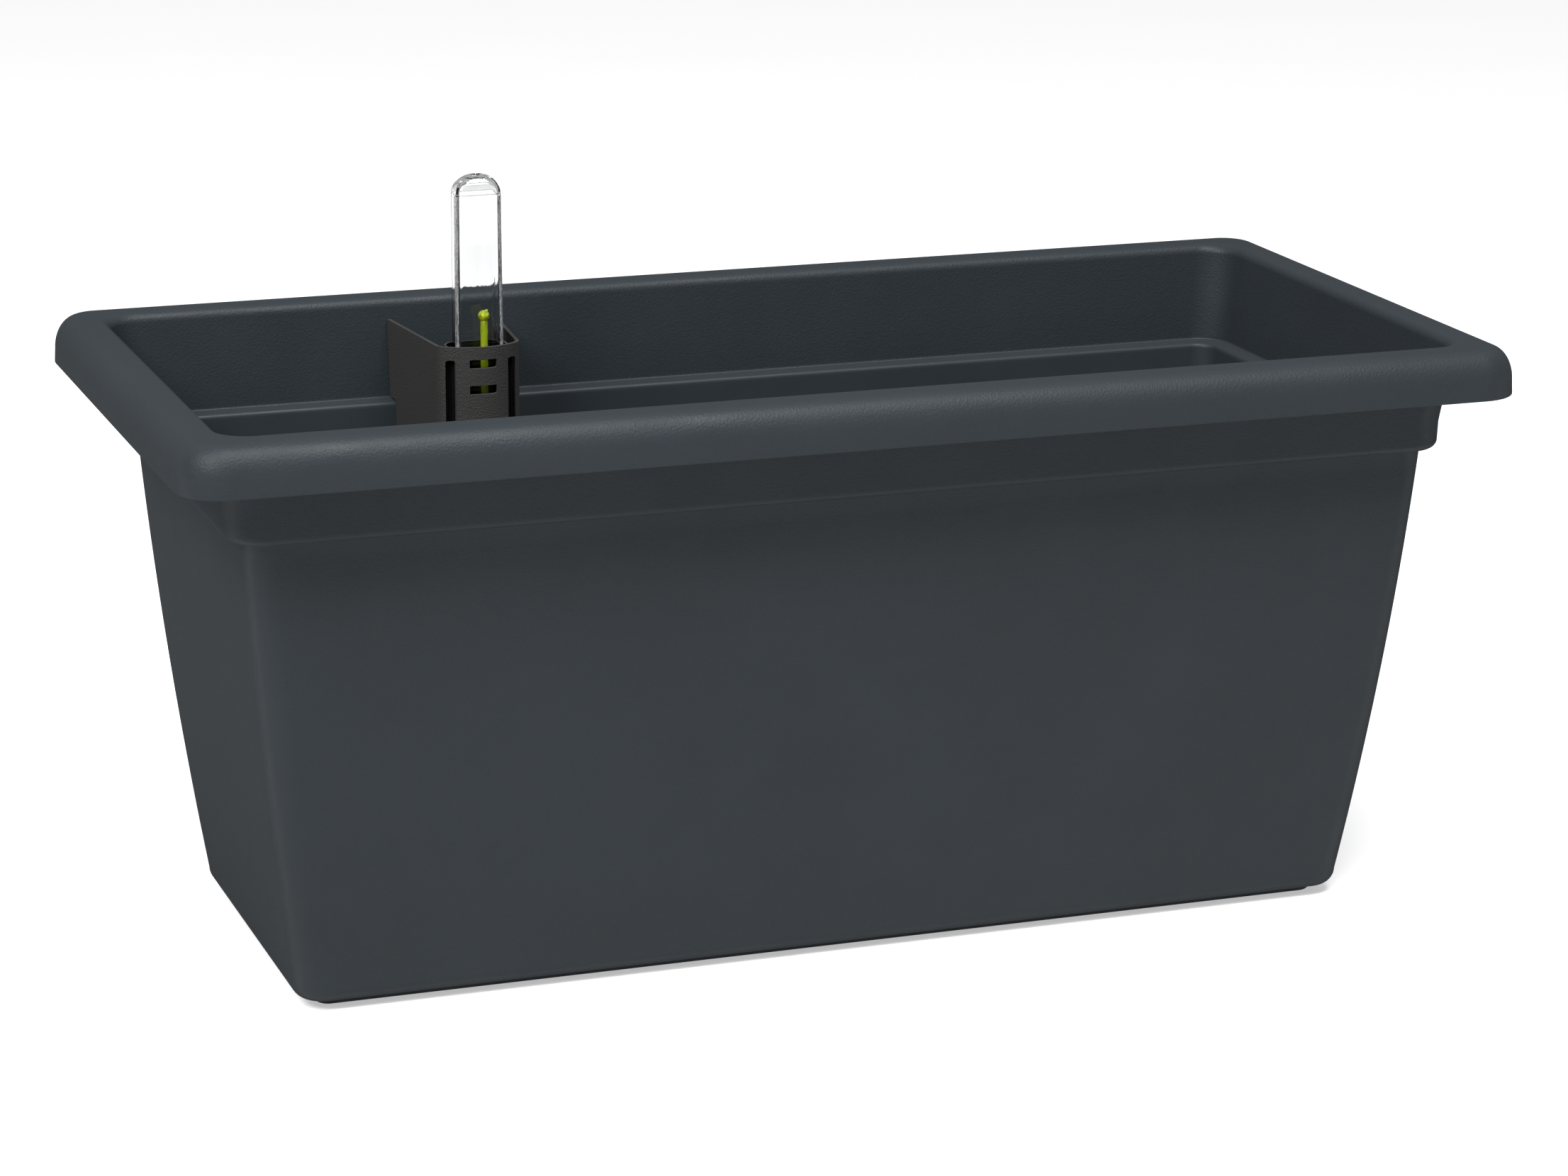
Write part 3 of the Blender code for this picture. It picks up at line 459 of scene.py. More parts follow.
def trough_rings():
    rings = []
    marks = {}

    def at(hx, hy, r, z):
        rings.append(rounded_rect(hx, hy, max(r, 0.0025), z))

    def inset(ix, iy, r, z):
        at(HALF_L - ix, HALF_W - iy, r, z)

    at(FOOT_X - FOOT_W - 0.0009, FOOT_Y - FOOT_W - 0.0009, 0.0055, FOOT_Z)
    at(FOOT_X - FOOT_W - 0.0004, FOOT_Y - FOOT_W - 0.0004, 0.0056, FOOT_Z - 0.0005)
    at(FOOT_X - FOOT_W - 0.0002, FOOT_Y - FOOT_W - 0.0002, 0.0058, 0.0005)
    at(FOOT_X - FOOT_W + 0.0004, FOOT_Y - FOOT_W + 0.0004, 0.0060, 0.0)
    for a in quarter(8):
        d = 0.0038 * (1 - math.sin(a))
        at(FOOT_X - d, FOOT_Y - d, 0.009 - d, 0.0038 * (1 - math.cos(a)))
    at(FOOT_X, FOOT_Y, 0.009, FOOT_Z - 0.0003)
    bx, by, br = body_half(BODY_Z0)
    for a in quarter(12):
        d = EDGE_R * (1 - math.sin(a))
        at(bx - d, by - d, br - d, BODY_Z0 - EDGE_R * math.cos(a))
    for i in range(1, 24):
        z = BODY_Z0 + (STEP_Z - 0.0012 - BODY_Z0) * i / 23
        at(*body_half(z)[:2], body_half(z)[2], z)
    tx, ty, tr = body_half(STEP_Z)
    at(tx + 0.0003, ty + 0.0003, tr, STEP_Z - 0.0004)
    at(tx + 0.0011, ty + 0.0011, tr + 0.0008, STEP_Z + 0.0001)
    for a in quarter(8):
        d = BAND_BOT + STEP_R * (1 - math.sin(a))
        inset(d, d, BAND_CORNER - (d - BAND_TOP), STEP_Z + STEP_R * (1 - math.cos(a)) + 0.0003)
    for i in range(1, 4):
        t = i / 3
        inset(BAND_BOT + (BAND_TOP - BAND_BOT) * t, BAND_BOT + (BAND_TOP - BAND_BOT) * t, BAND_CORNER,
              STEP_Z + STEP_R + 0.0003 + (SKIRT_Z - STEP_Z - STEP_R - 0.0003) * t)
    inset(0.0276, 0.0278, 0.0266, 0.3330)
    inset(0.0266, 0.0270, 0.026, 0.3415)
    inset(0.0259, 0.0264, 0.0256, 0.3448)
    inset(0.0246, 0.0252, 0.025, 0.3466)
    inset(0.0222, 0.0236, 0.024, 0.3478)
    cz_, ci = RIM_Z - ROUND_H, SKIRT_DRAFT + ROUND_W
    for a in quarter(10):
        d = ci - (ROUND_W - WALL) * math.sin(a)
        inset(d, d, 0.0265 - d * 0.6, cz_ + (ROUND_H - 0.0032) * math.cos(a))
    inset(WALL - 0.0003, WALL - 0.0003, 0.0251, SKIRT_Z + 0.0010)
    for a in quarter(3):
        d = 0.0007 * math.sin(a)
        inset(WALL - 0.0003 - d, WALL - 0.0003 - d, 0.0252 + d, SKIRT_Z + 0.0007 * (1 - math.sin(a)))
    for a in quarter(4):
        d = 0.0007 * (1 - math.sin(a))
        inset(d, d, RIM_CORNER - d, SKIRT_Z + 0.0007 * (1 - math.cos(a)))
    for a in quarter(16):
        d = SKIRT_DRAFT + ROUND_W * (1 - math.cos(a))
        inset(d, d, RIM_CORNER - d, cz_ + ROUND_H * math.sin(a))
    for a in quarter(10):
        t = math.sin(a)
        inset(LIP_X + (INNER_X - LIP_X) * t, LIP_Y + (INNER_Y - LIP_Y) * t,
              0.0215, RIM_Z - LIP_R * (1 - math.cos(a)))
    marks["inner"] = len(rings)
    inset(0.0322, 0.0336, 0.0210, 0.3180)
    inset(0.0354, 0.0354, 0.0205, SHELF_Z + 0.0022)
    for a in quarter(4):
        inset(0.0367 - 0.0013 * math.cos(a), 0.0367 - 0.0013 * math.cos(a), 0.0205 - 0.001 * math.sin(a),
              SHELF_Z + 0.0013 * (1 - math.sin(a)))
    inset(0.0428, 0.0428, 0.0156, SHELF_Z - 0.0007)
    nx, ny, nr = body_half(SHELF_Z - 0.0038)
    e = HALF_L - (nx - WALL)
    for a in quarter(6)[1:]:
        d = 0.0428 + (e - 0.0428) * math.sin(a)
        inset(d, d + (HALF_W - (ny - WALL)) - e if a > 1.5 else d, 0.0156 - 0.0026 * math.sin(a),
              SHELF_Z - 0.0007 - 0.0031 * (1 - math.cos(a)))
    marks["lower"] = len(rings)
    for i in range(22, -1, -1):
        z = BODY_Z0 + (STEP_Z - 0.0030 - BODY_Z0) * i / 22
        x, y, r = body_half(z)
        at(x - WALL, y - WALL, r - WALL, z)
    ri = BODY_Z0 - FLOOR_Z
    for a in quarter(8)[1:]:
        d = WALL + ri * (1 - math.cos(a))
        at(bx - d, by - d, br - d, BODY_Z0 - ri * math.sin(a))
    return rings, marks


rings, marks = trough_rings()
trough = make("trough_shell", loft("trough_shell", rings), SHELL)


def ring_y(r, profile_y):
    return [(r * math.cos(0), profile_y)]


def along_y(x, z):
    """Maps an upright turned body so that its height runs along +Y at (x, z)."""
    return lambda p: (x + p.x, p.z, z - p.y)


boss = make("boss", lathe("boss", [(0.0, BOSS_Y1), (BOSS_R - 0.0012, BOSS_Y1), (BOSS_R - 0.0004, BOSS_Y1 - 0.0004),
                                   (BOSS_R, BOSS_Y1 - 0.0012), (BOSS_R, BOSS_Y0 + 0.0012),
                                   (BOSS_R - 0.0012, BOSS_Y0), (0.0, BOSS_Y0)], 64,
                          out=along_y(DRAIN_X, DRAIN_Z)))
cut(trough, [boss], "UNION")
hole = make("hole", lathe("hole", [(0.0, BOSS_Y1 + 0.01), (DRAIN_HOLE_R, BOSS_Y1 + 0.01),
                                   (DRAIN_HOLE_R, BOSS_Y0 - 0.01), (0.0, BOSS_Y0 - 0.01)], 64,
                          out=along_y(DRAIN_X, DRAIN_Z)))
ribs = many_prisms("ribs", [stadium(x, 0.0, 0.0030, 0.1970, 0.0008, 3)
                            for x in (-0.20, -0.10, 0.0, 0.10, 0.20)], 0.0012, 0.0066)
cut(trough, [ribs], "UNION")
cut(trough, [hole])
trough.data.materials.clear()
trough.data.materials.append(SHELL)
trough.data.materials.append(INSIDE)
for p in trough.data.polygons:
    c = p.center
    low = c.z < SHELF_Z + 0.0006 and c.z > FLOOR_Z - 0.0005
    hx, hy, hr = body_half(min(c.z, BODY_Z1))
    inside = abs(c.x) < hx - 0.0018 and abs(c.y) < hy - 0.0018
    if c.z > STEP_Z:
        inside = abs(c.x) < HALF_L - 0.0362 and abs(c.y) < HALF_W - 0.0362
    p.material_index = 1 if (low and inside) else 0
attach(trough, "planter")
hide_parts("planter_box")

# ------------------------------------------------------------------ false floor
DX = body_half(DECK_Z - DECK_T)[0] - WALL - DECK_GAP
DY = body_half(DECK_Z - DECK_T)[1] - WALL - DECK_GAP
DR = body_half(DECK_Z - DECK_T)[2] - WALL - DECK_GAP
SPLIT = 0.0005


def deck_outline(sign):
    full = [(x, y) for x, y, z in rounded_rect(DX, DY, DR, 0.0, n=10)]
    half = [p for p in full if p[0] * sign > 0]
    upper = [p for p in half if p[1] >= 0]
    lower = [p for p in half if p[1] < 0]
    if sign > 0:
        return [(SPLIT, -DY)] + lower + upper + [(SPLIT, DY)]
    return [(-SPLIT, DY)] + upper + lower + [(-SPLIT, -DY)]


def deck_slots(sign):
    made = []
    for y in (-0.112, -0.084, -0.056, -0.028, 0.0, 0.028, 0.056, 0.084, 0.112):
        for ix in range(11):
            x = sign * (0.0300 + 0.0280 * ix)
            if abs(x) > DX - 0.012:
                continue
            if any(math.hypot(x - a, y - b) < CUP_HOLE + 0.014 for a, b in CUPS):
                continue
            if any(math.hypot(x - a, y - b) < 0.018 for a, b in LEGS):
                continue
            if sign < 0 and abs(x - SHAFT_X) < 0.045 and y > 0.045:
                continue
            if abs(x) < 0.05 and abs(abs(y) - 0.06) < 0.02:
                continue
            made.append(stadium(x, y, 0.0035, 0.0160, 0.0012, 3))
    return made


def bow(cyy, g):
    return [(-0.0160 - g, cyy - 0.0100 - g), (0.0, cyy - 0.0050 - g), (0.0160 + g, cyy - 0.0100 - g),
            (0.0160 + g, cyy + 0.0100 + g), (0.0, cyy + 0.0050 + g), (-0.0160 - g, cyy + 0.0100 + g)]


for sign, name in ((-1, "platform_left"), (1, "platform_right")):
    deck = make(name + "_plate", prism(name + "_plate", deck_outline(sign), DECK_Z - DECK_T, DECK_Z), DECK)
    xs = sorted((sign * 0.0180, sign * (DX - 0.0125)))
    rows = [-0.0700, -0.0420, 0.0420] + ([0.0700] if sign > 0 else [])
    rib = many_prisms("rib", [stadium((xs[0] + xs[1]) / 2, y, xs[1] - xs[0], 0.0020, 0.0005, 2)
                              for y in rows], DECK_Z - DECK_T - 0.006, DECK_Z - 0.0010)
    cut(deck, [rib], "UNION")
    holes = deck_slots(sign)
    holes += [[(a + CUP_HOLE * math.cos(2 * math.pi * i / 48), b + CUP_HOLE * math.sin(2 * math.pi * i / 48))
               for i in range(48)] for a, b in CUPS if a * sign > 0]
    holes += [[(a + (PEG_R + 0.0005) * math.cos(2 * math.pi * i / 20), b + (PEG_R + 0.0005) * math.sin(2 * math.pi * i / 20))
               for i in range(20)] for a, b in LEGS if a * sign > 0]
    if sign < 0:
        holes.append(stadium(SHAFT_X, (OPEN_Y0 + OPEN_Y1) / 2, 2 * OPEN_X, OPEN_Y1 - OPEN_Y0, 0.0008, 2))
    cut(deck, [many_prisms("holes", holes, DECK_Z - 0.012, DECK_Z + 0.004),
               many_prisms("bows", [bow(-0.060, 0.0005), bow(0.060, 0.0005)], DECK_Z - 0.0045, DECK_Z + 0.002)])
    tidy(deck)
    bevel(deck, 0.0003, 2)
    even(deck)
    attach(deck, "planter")
    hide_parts(name)

for k, cyy in enumerate((-0.060, 0.060)):
    clip = make("platform_clip_%d_body" % (k + 1), prism("clip", bow(cyy, 0.0), DECK_Z - DECK_T, DECK_Z + 0.0002), DECK)
    cut(clip, [make("dimple", lathe("dimple", [(0.0, DECK_Z + 0.002), (0.0030, DECK_Z + 0.002), (0.0030, DECK_Z - 0.0006),
                                               (0.0024, DECK_Z - 0.0010), (0.0, DECK_Z - 0.0010)], 24, (0.0, cyy)))])
    tidy(clip)
    bevel(clip, 0.00035, 2)
    even(clip)
    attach(clip, "planter")
    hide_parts("platform_clip_%d" % (k + 1))

LEG_TOP = DECK_Z - DECK_T - CLEAR
leg_profile = [(0.0, DECK_Z + 0.0010), (PEG_R - 0.0007, DECK_Z + 0.0010), (PEG_R - 0.0002, DECK_Z + 0.0007),
               (PEG_R, DECK_Z + 0.0002), (PEG_R, LEG_TOP), (0.0104, LEG_TOP), (0.0108, LEG_TOP - 0.0002),
               (0.0110, LEG_TOP - 0.0006), (0.0110, LEG_TOP - 0.0018), (0.0106, LEG_TOP - 0.0023),
               (0.0090, LEG_TOP - 0.0030), (0.0086, LEG_TOP - 0.0040),
               (0.0089, FLOOR_Z + 0.0090), (0.0096, FLOOR_Z + 0.0062), (0.0114, FLOOR_Z + 0.0038),
               (0.0120, FLOOR_Z + 0.0026), (0.0120, FLOOR_Z + 0.0008), (0.0117, FLOOR_Z + CLEAR),
               (0.0103, FLOOR_Z + CLEAR), (0.0098, FLOOR_Z + 0.0010), (0.0074, FLOOR_Z + 0.0100),
               (0.0066, LEG_TOP - 0.0100), (0.0, LEG_TOP - 0.0100)]
for k, (x, y) in enumerate(LEGS):
    leg = make("support_leg_%d_post" % (k + 1), lathe("support_leg", leg_profile, 40, (x, y)), DECK)
    smooth(leg.data)
    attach(leg, "planter")
    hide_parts("support_leg_%d" % (k + 1))

CUP_TOP = DECK_Z + CLEAR + 0.0020
cup_profile = [(0.0, FLOOR_Z + 0.0028), (0.0206, FLOOR_Z + 0.0028), (0.0220, FLOOR_Z + 0.0034),
               (0.0227, FLOOR_Z + 0.0048), (0.0268, CUP_TOP - 0.0008), (0.0274, CUP_TOP),
               (0.0333, CUP_TOP), (0.0339, CUP_TOP - 0.0002), (0.0342, CUP_TOP - 0.0007),
               (0.0342, DECK_Z + CLEAR + 0.0003), (0.0339, DECK_Z + CLEAR), (0.0292, DECK_Z + CLEAR),
               (0.0243, FLOOR_Z + 0.0036), (0.0236, FLOOR_Z + 0.0016), (0.0220, FLOOR_Z + 0.0008),
               (0.0, FLOOR_Z + 0.0008)]
for k, (x, y) in enumerate(CUPS):
    cup = make("wick_cup_%d_basket" % (k + 1), lathe("wick_cup", cup_profile, 60), DECK)
    slots = bmesh.new()
    for j in range(6):
        a = math.pi / 3 * j + math.pi / 6
        me = prism("tmp", stadium(0.0, 0.0420, 0.0030, 0.0480, 0.0014, 3), 0.0150, 0.0350, "Y")
        me.transform(Matrix.Rotation(a - math.pi / 2, 4, "Z"))
        slots.from_mesh(me)
        bpy.data.meshes.remove(me)
    cut(cup, [make("cup_slots", to_mesh("cup_slots", slots))])
    cup.data.transform(Matrix.Translation((x, y, 0.0)))
    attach(cup, "planter")
    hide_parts("wick_cup_%d" % (k + 1))


# ------------------------------------------------------------------ filling shaft
def shaft_line():
    half = SHAFT_HALF
    wing = Vector((0.0342, 0.1660))
    corner = Vector((half, SHAFT_FRONT))
    front = [Vector((half * t, SHAFT_FRONT - SHAFT_BULGE * (1 - t * t)))
             for t in [i / 18 for i in range(15)]]
    back = corner + (wing - corner).normalized() * 0.0045
    near = Vector((half * 0.84, SHAFT_FRONT - SHAFT_BULGE * (1 - 0.84 ** 2)))
    bend = [near * (1 - t) ** 2 + corner * 2 * t * (1 - t) + back * t * t
            for t in [i / 10 for i in range(11)]]
    right = front + bend + [wing]
    left = [Vector((-p.x, p.y)) for p in reversed(right[1:])]
    return left + right


def offset_line(line, d):
    out = []
    for i, p in enumerate(line):
        a, b = line[max(i - 1, 0)], line[min(i + 1, len(line) - 1)]
        t = (b - a).normalized()
        out.append(p + Vector((-t.y, t.x)) * d)
    return out


outer = shaft_line()
inner = offset_line(outer, SHAFT_WALL)
plan = [(SHAFT_X + p.x, p.y) for p in outer] + [(SHAFT_X + p.x, p.y) for p in reversed(inner)]
shaft = make("filler_shaft_moulding", prism("filler_shaft_moulding", plan, DECK_Z + CLEAR, SHAFT_TOP), SHAFT)


def wall_y(z):
    return body_half(z)[1] - WALL


gap = 0.0006
wall_line = [(wall_y(0.070 + (STEP_Z - 0.070) * i / 24) - gap, 0.070 + (STEP_Z - 0.070) * i / 24) for i in range(25)]
wall_line += [(wall_y(STEP_Z) - gap, SHELF_Z + 0.0006), (HALF_W - 0.0374 - gap, SHELF_Z + 0.0006),
              (HALF_W - 0.0356 - gap, SHELF_Z + 0.0026), (HALF_W - INNER_Y - gap, RIM_Z - LIP_R),
              (HALF_W - INNER_Y - gap, 0.36), (0.20, 0.36), (0.20, 0.070)]
cut(shaft, [make("wall_cut", prism("wall_cut", wall_line, SHAFT_X - 0.06, SHAFT_X + 0.06, "X")),
            many_prisms("windows", [stadium(SHAFT_X, (a + b) / 2, 0.0168, b - a, 0.0009, 2)
                                    for a, b in ((0.3251, 0.3305), (0.3092, 0.3146))], 0.056, 0.0730, "Y"),
            many_prisms("slots", [stadium(SHAFT_X + s * 0.0190, (0.2450 + 0.3300) / 2, 0.0055, 0.0850, 0.0016, 3)
                                  for s in (-1, 1)], 0.056, 0.0762, "Y")])
tidy(shaft)
bevel(shaft, 0.00045, 3, 50.0)
even(shaft)
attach(shaft, "shaft")
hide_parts("filler_shaft")


def carrier_ring(grow, z, r, drop=0.0):
    return rounded_rect(CARRIER_HX + grow, CARRIER_HY + grow, r, z, CARRIER_X, CARRIER_Y, n=14)


W = CARRIER_WALL
carrier = make("gauge_carrier_moulding", loft("gauge_carrier_moulding", [
    carrier_ring(-0.0004, CARRIER_Z0, CARRIER_R - 0.0004), carrier_ring(0, CARRIER_Z0 + 0.0004, CARRIER_R),
    carrier_ring(0, CARRIER_TOP - 0.0005, CARRIER_R), carrier_ring(-0.0002, CARRIER_TOP - 0.0001, CARRIER_R - 0.0002),
    carrier_ring(-0.0006, CARRIER_TOP, CARRIER_R - 0.0006), carrier_ring(-W + 0.0006, CARRIER_TOP, CARRIER_R - W + 0.0006),
    carrier_ring(-W + 0.0001, CARRIER_TOP - 0.0002, CARRIER_R - W), carrier_ring(-W, CARRIER_TOP - 0.0006, CARRIER_R - W),
    carrier_ring(-W, CARRIER_Z0 + 0.0030, CARRIER_R - W)]), BLACK)
front_y = CARRIER_Y - CARRIER_HY
cut(carrier, [make("front_cut", prism("front_cut", [
    (CARRIER_X - 0.0162, front_y - 0.004), (CARRIER_X + 0.0162, front_y - 0.004),
    (CARRIER_X + 0.0162, CARRIER_Y - 0.0030), (CARRIER_X - 0.0162, CARRIER_Y - 0.0030)],
    CARRIER_Z0 + 0.0160, CARRIER_TOP - 0.0042))])
cut(carrier, [many_prisms("rails", [[(SHAFT_X + s * 0.0185 - 0.0023, 0.0760), (SHAFT_X + s * 0.0185 + 0.0023, 0.0760),
                                     (SHAFT_X + s * 0.0185 + 0.0023, 0.0850), (SHAFT_X + s * 0.0185 - 0.0023, 0.0850)]
                                    for s in (-1, 1)], CARRIER_Z0 + 0.0010, 0.3322)], "UNION")
cut(carrier, [many_prisms("rail_ribs", [[(SHAFT_X + s * 0.0185 + d - 0.0004, 0.0747), (SHAFT_X + s * 0.0185 + d + 0.0004, 0.0747),
                                         (SHAFT_X + s * 0.0185 + d + 0.0004, 0.0772), (SHAFT_X + s * 0.0185 + d - 0.0004, 0.0772)]
                                        for s in (-1, 1) for d in (-0.0016, -0.0002, 0.0012)], 0.2290, 0.3290)], "UNION")
cut(carrier, [make("rod_hole", lathe("rod_hole", [(0.0, CARRIER_Z0 + 0.006), (0.0050, CARRIER_Z0 + 0.006),
                                                  (0.0050, CARRIER_Z0 - 0.006), (0.0, CARRIER_Z0 - 0.006)], 40, (ROD_X, ROD_Y)))])
tidy(carrier)
bevel(carrier, 0.0003, 2, 50.0)
even(carrier)
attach(carrier, "shaft")
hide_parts("gauge_carrier")


def cage_ring(grow, z):
    return rounded_rect(CAGE_HX + grow, CAGE_HY + grow, CAGE_R + min(grow, 0), z, CAGE_X, CAGE_Y, n=10)


CAGE_Z0, CAGE_TOP = FLOOR_Z + 0.0020, DECK_Z + CLEAR + 0.0020
cage = make("float_cage_moulding", loft("float_cage_moulding", [
    cage_ring(0, CAGE_Z0), cage_ring(0, CAGE_TOP),
    cage_ring(-CAGE_WALL, CAGE_TOP), cage_ring(-CAGE_WALL, CAGE_Z0)], loop=True), DECK)
cut(cage, [make("flange", loft("flange", [
    rounded_rect(0.0226, 0.0253, 0.004, DECK_Z + CLEAR, SHAFT_X, 0.1018, n=6),
    rounded_rect(0.0226, 0.0253, 0.004, CAGE_TOP, SHAFT_X, 0.1018, n=6)]))], "UNION")
cut(cage, [make("bore", loft("bore", [cage_ring(-CAGE_WALL, DECK_Z - 0.010), cage_ring(-CAGE_WALL, CAGE_TOP + 0.004)]))])
cut(cage, [many_prisms("water", [stadium(CAGE_X - 0.0095 + 0.0095 * k, 0.0450, 0.0050, 0.0540, 0.0024, 5) for k in range(3)],
                       CAGE_Y - 0.030, CAGE_Y + 0.030, "Y"),
           many_prisms("flange_slots", [stadium(SHAFT_X - 0.0120 + 0.0120 * k, (0.1010 + 0.1225) / 2, 0.0060, 0.0215, 0.0012, 3)
                                        for k in range(3)], DECK_Z - 0.004, CAGE_TOP + 0.004)])
tidy(cage)
bevel(cage, 0.00025, 2, 50.0)
even(cage)
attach(cage, "shaft")
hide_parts("float_cage")


# ------------------------------------------------------------------ gauge
def tube_ring(d, z, shrink=0.0, n=12):
    hx = max(GAUGE_HX - d - shrink, 0.0012)
    hy = max(GAUGE_HY - d - shrink * GAUGE_HY / GAUGE_HX, 0.0012)
    r = min(max(GAUGE_R - d * 1.05 + shrink * 0.3, 0.0010), hx - 1e-5, hy - 1e-5)
    return rounded_rect(hx, hy, r, z, GAUGE_X, GAUGE_Y, n=n)


dome_h = GAUGE_TOP - GAUGE_Z1
T, GW = GAUGE_TAPER, 0.0022
outer_r = [tube_ring(0.0004, GAUGE_Z0), tube_ring(0.0001, GAUGE_Z0 + 0.0001), tube_ring(0, GAUGE_Z0 + 0.0004),
           tube_ring(0, GAUGE_Z0 + 0.0012), tube_ring(0, GAUGE_ZT - 0.001), tube_ring(0, GAUGE_ZT)]
for i in range(1, 6):
    outer_r.append(tube_ring(T * i / 6, GAUGE_ZT + (GAUGE_Z1 - GAUGE_ZT) * i / 6))
outer_r += [tube_ring(T - 0.000004, GAUGE_Z1 - 0.0012), tube_ring(T, GAUGE_Z1 - 0.0004), tube_ring(T + 0.00005, GAUGE_Z1 - 0.0002),
            tube_ring(T + 0.00016, GAUGE_Z1), tube_ring(T + 0.00005, GAUGE_Z1 + 0.0002), tube_ring(T, GAUGE_Z1 + 0.0004)]
for a in quarter(18)[2:]:
    outer_r.append(tube_ring(T, GAUGE_Z1 + dome_h * math.sin(a), (GAUGE_HX - T - 0.0032) * (1 - math.cos(a))))
outer_r += [tube_ring(T, GAUGE_TOP - 0.0001, GAUGE_HX - T - 0.0029), tube_ring(T, GAUGE_TOP - 0.0006, GAUGE_HX - T - 0.0027),
            tube_ring(T, GAUGE_TOP - 0.0017, GAUGE_HX - T - 0.0026), tube_ring(T, GAUGE_TOP - 0.0019, GAUGE_HX - T - 0.0022),
            tube_ring(T, GAUGE_TOP - 0.0019, GAUGE_HX - T - 0.0009), tube_ring(T, GAUGE_TOP - 0.0016, GAUGE_HX - T - 0.0005),
            tube_ring(T, GAUGE_TOP - 0.0009, GAUGE_HX - T - 0.0004)]
inner_top = GAUGE_TOP - 0.0031
inner_r = []
for a in reversed(quarter(14)[1:]):
    inner_r.append(tube_ring(T + GW, GAUGE_Z1 + (inner_top - GAUGE_Z1) * math.sin(a),
                             (GAUGE_HX - T - GW - 0.0046) * (1 - math.cos(a))))
inner_r += [tube_ring(T + GW, GAUGE_Z1), tube_ring(T + GW, GAUGE_Z1 - 0.0010)]
for i in range(5, 0, -1):
    inner_r.append(tube_ring(GW + T * i / 6, GAUGE_ZT + (GAUGE_Z1 - GAUGE_ZT) * i / 6))
inner_r += [tube_ring(GW, GAUGE_ZT), tube_ring(GW, GAUGE_ZT - 0.001), tube_ring(GW, GAUGE_Z0 + 0.0012),
            tube_ring(GW, GAUGE_Z0 + 0.0004), tube_ring(GW - 0.0001, GAUGE_Z0 + 0.0001), tube_ring(GW - 0.0004, GAUGE_Z0)]
tube = make("gauge_tube_clear", loft("gauge_tube_clear", inner_r + outer_r), CLEARP)
smooth(tube.data, 50.0)
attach(tube, "gauge_tube")
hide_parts("gauge_tube", "gauge_cap")


def painted_streak(name, ids, flat=0.0):
    """A thin strip on the tube's outside, from the collar to the seam, that carries the painted shade and painted
    highlight of the tube's refraction streaks.
    """
    rings = []
    for i in range(7):
        z = GAUGE_ZT + (GAUGE_Z1 - 0.0007 - GAUGE_ZT) * i / 6
        outside, inside = tube_ring(T * i / 6 - 0.00004, z), tube_ring(T * i / 6 + 0.00022, z)
        row = [outside[k] for k in ids] + [inside[k] for k in reversed(ids)]
        if flat:
            (x0, y0, _), (x1, y1, _) = row[0], row[-1]
            row = [(x0, y0 + flat, z)] + row + [(x1, y1 + flat, z)]
        rings.append(row)
    ob = make(name, loft(name, rings), PAINTED_STREAKS)
    smooth(ob.data, 50.0)
    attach(ob, "gauge_tube")


# strips of painted shade and painted highlight along the tube's front-left and front-right corners
painted_streak("gauge_painted_streak_left", list(range(26, 31)), 0.0036)
painted_streak("gauge_painted_streak_right", list(range(42, 51)))

rod_profile = [(0.0, BALL_Z + BALL_R)]
for i in range(1, 15):
    a = math.pi / 2 - (math.pi / 2 + math.acos(ROD_R / BALL_R)) * i / 14
    ridge = 0.00012 * math.exp(-(a / 0.12) ** 2)
    rod_profile.append(((BALL_R + ridge) * math.cos(a), BALL_Z + (BALL_R + ridge) * math.sin(a)))
rod_profile += [(ROD_R, BALL_Z - 0.0030), (ROD_R, 0.20), (ROD_R, 0.0450), (ROD_R + 0.0004, 0.0440),
                (0.0040, 0.0434), (0.0047, 0.0431), (0.0050, 0.0426), (0.0050, FLOAT_Z1 + CLEAR), (0.0, FLOAT_Z1 + CLEAR)]
rod = make("float_rod_moulding", lathe("float_rod_moulding", rod_profile, 32, (ROD_X, ROD_Y)), LIME)
nub_me = lathe("nub", [(0.0, 0.0044), (0.00045, 0.0043), (0.0008, 0.0040), (0.0012, 0.0030), (0.0013, 0.0020), (0.0, 0.0020)], 20)
nub_me.transform(Matrix.Translation((ROD_X, ROD_Y, BALL_Z)) @ Matrix.Rotation(math.radians(28), 4, "Y"))
cut(rod, [make("nub", nub_me)], "UNION")
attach(rod, "float")
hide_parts("float_rod")


def float_ring(d, z):
    return rounded_rect(FLOAT_HX - d, FLOAT_HY - d, FLOAT_R - d, z, CAGE_X, CAGE_Y, n=12)


fr = []
for a in quarter(5):
    fr.append(float_ring(0.0015 * (1 - math.sin(a)), FLOAT_Z0 + 0.0015 * (1 - math.cos(a))))
for z in (0.0180, 0.0188, 0.0192, 0.0200, 0.0252, 0.0256, 0.0264, 0.0268, 0.0320, 0.0328, 0.0332, 0.0340):
    fr.append(float_ring(0.0004 if z in (0.0188, 0.0192, 0.0256, 0.0264, 0.0328, 0.0332) else 0.0, z))
for a in reversed(quarter(5)):
    fr.append(float_ring(0.0015 * (1 - math.sin(a)), FLOAT_Z1 - 0.0015 * (1 - math.cos(a))))
flo = make("float_block", loft("float_block", fr), FOAM)
smooth(flo.data)
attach(flo, "float")
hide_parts("float_body")

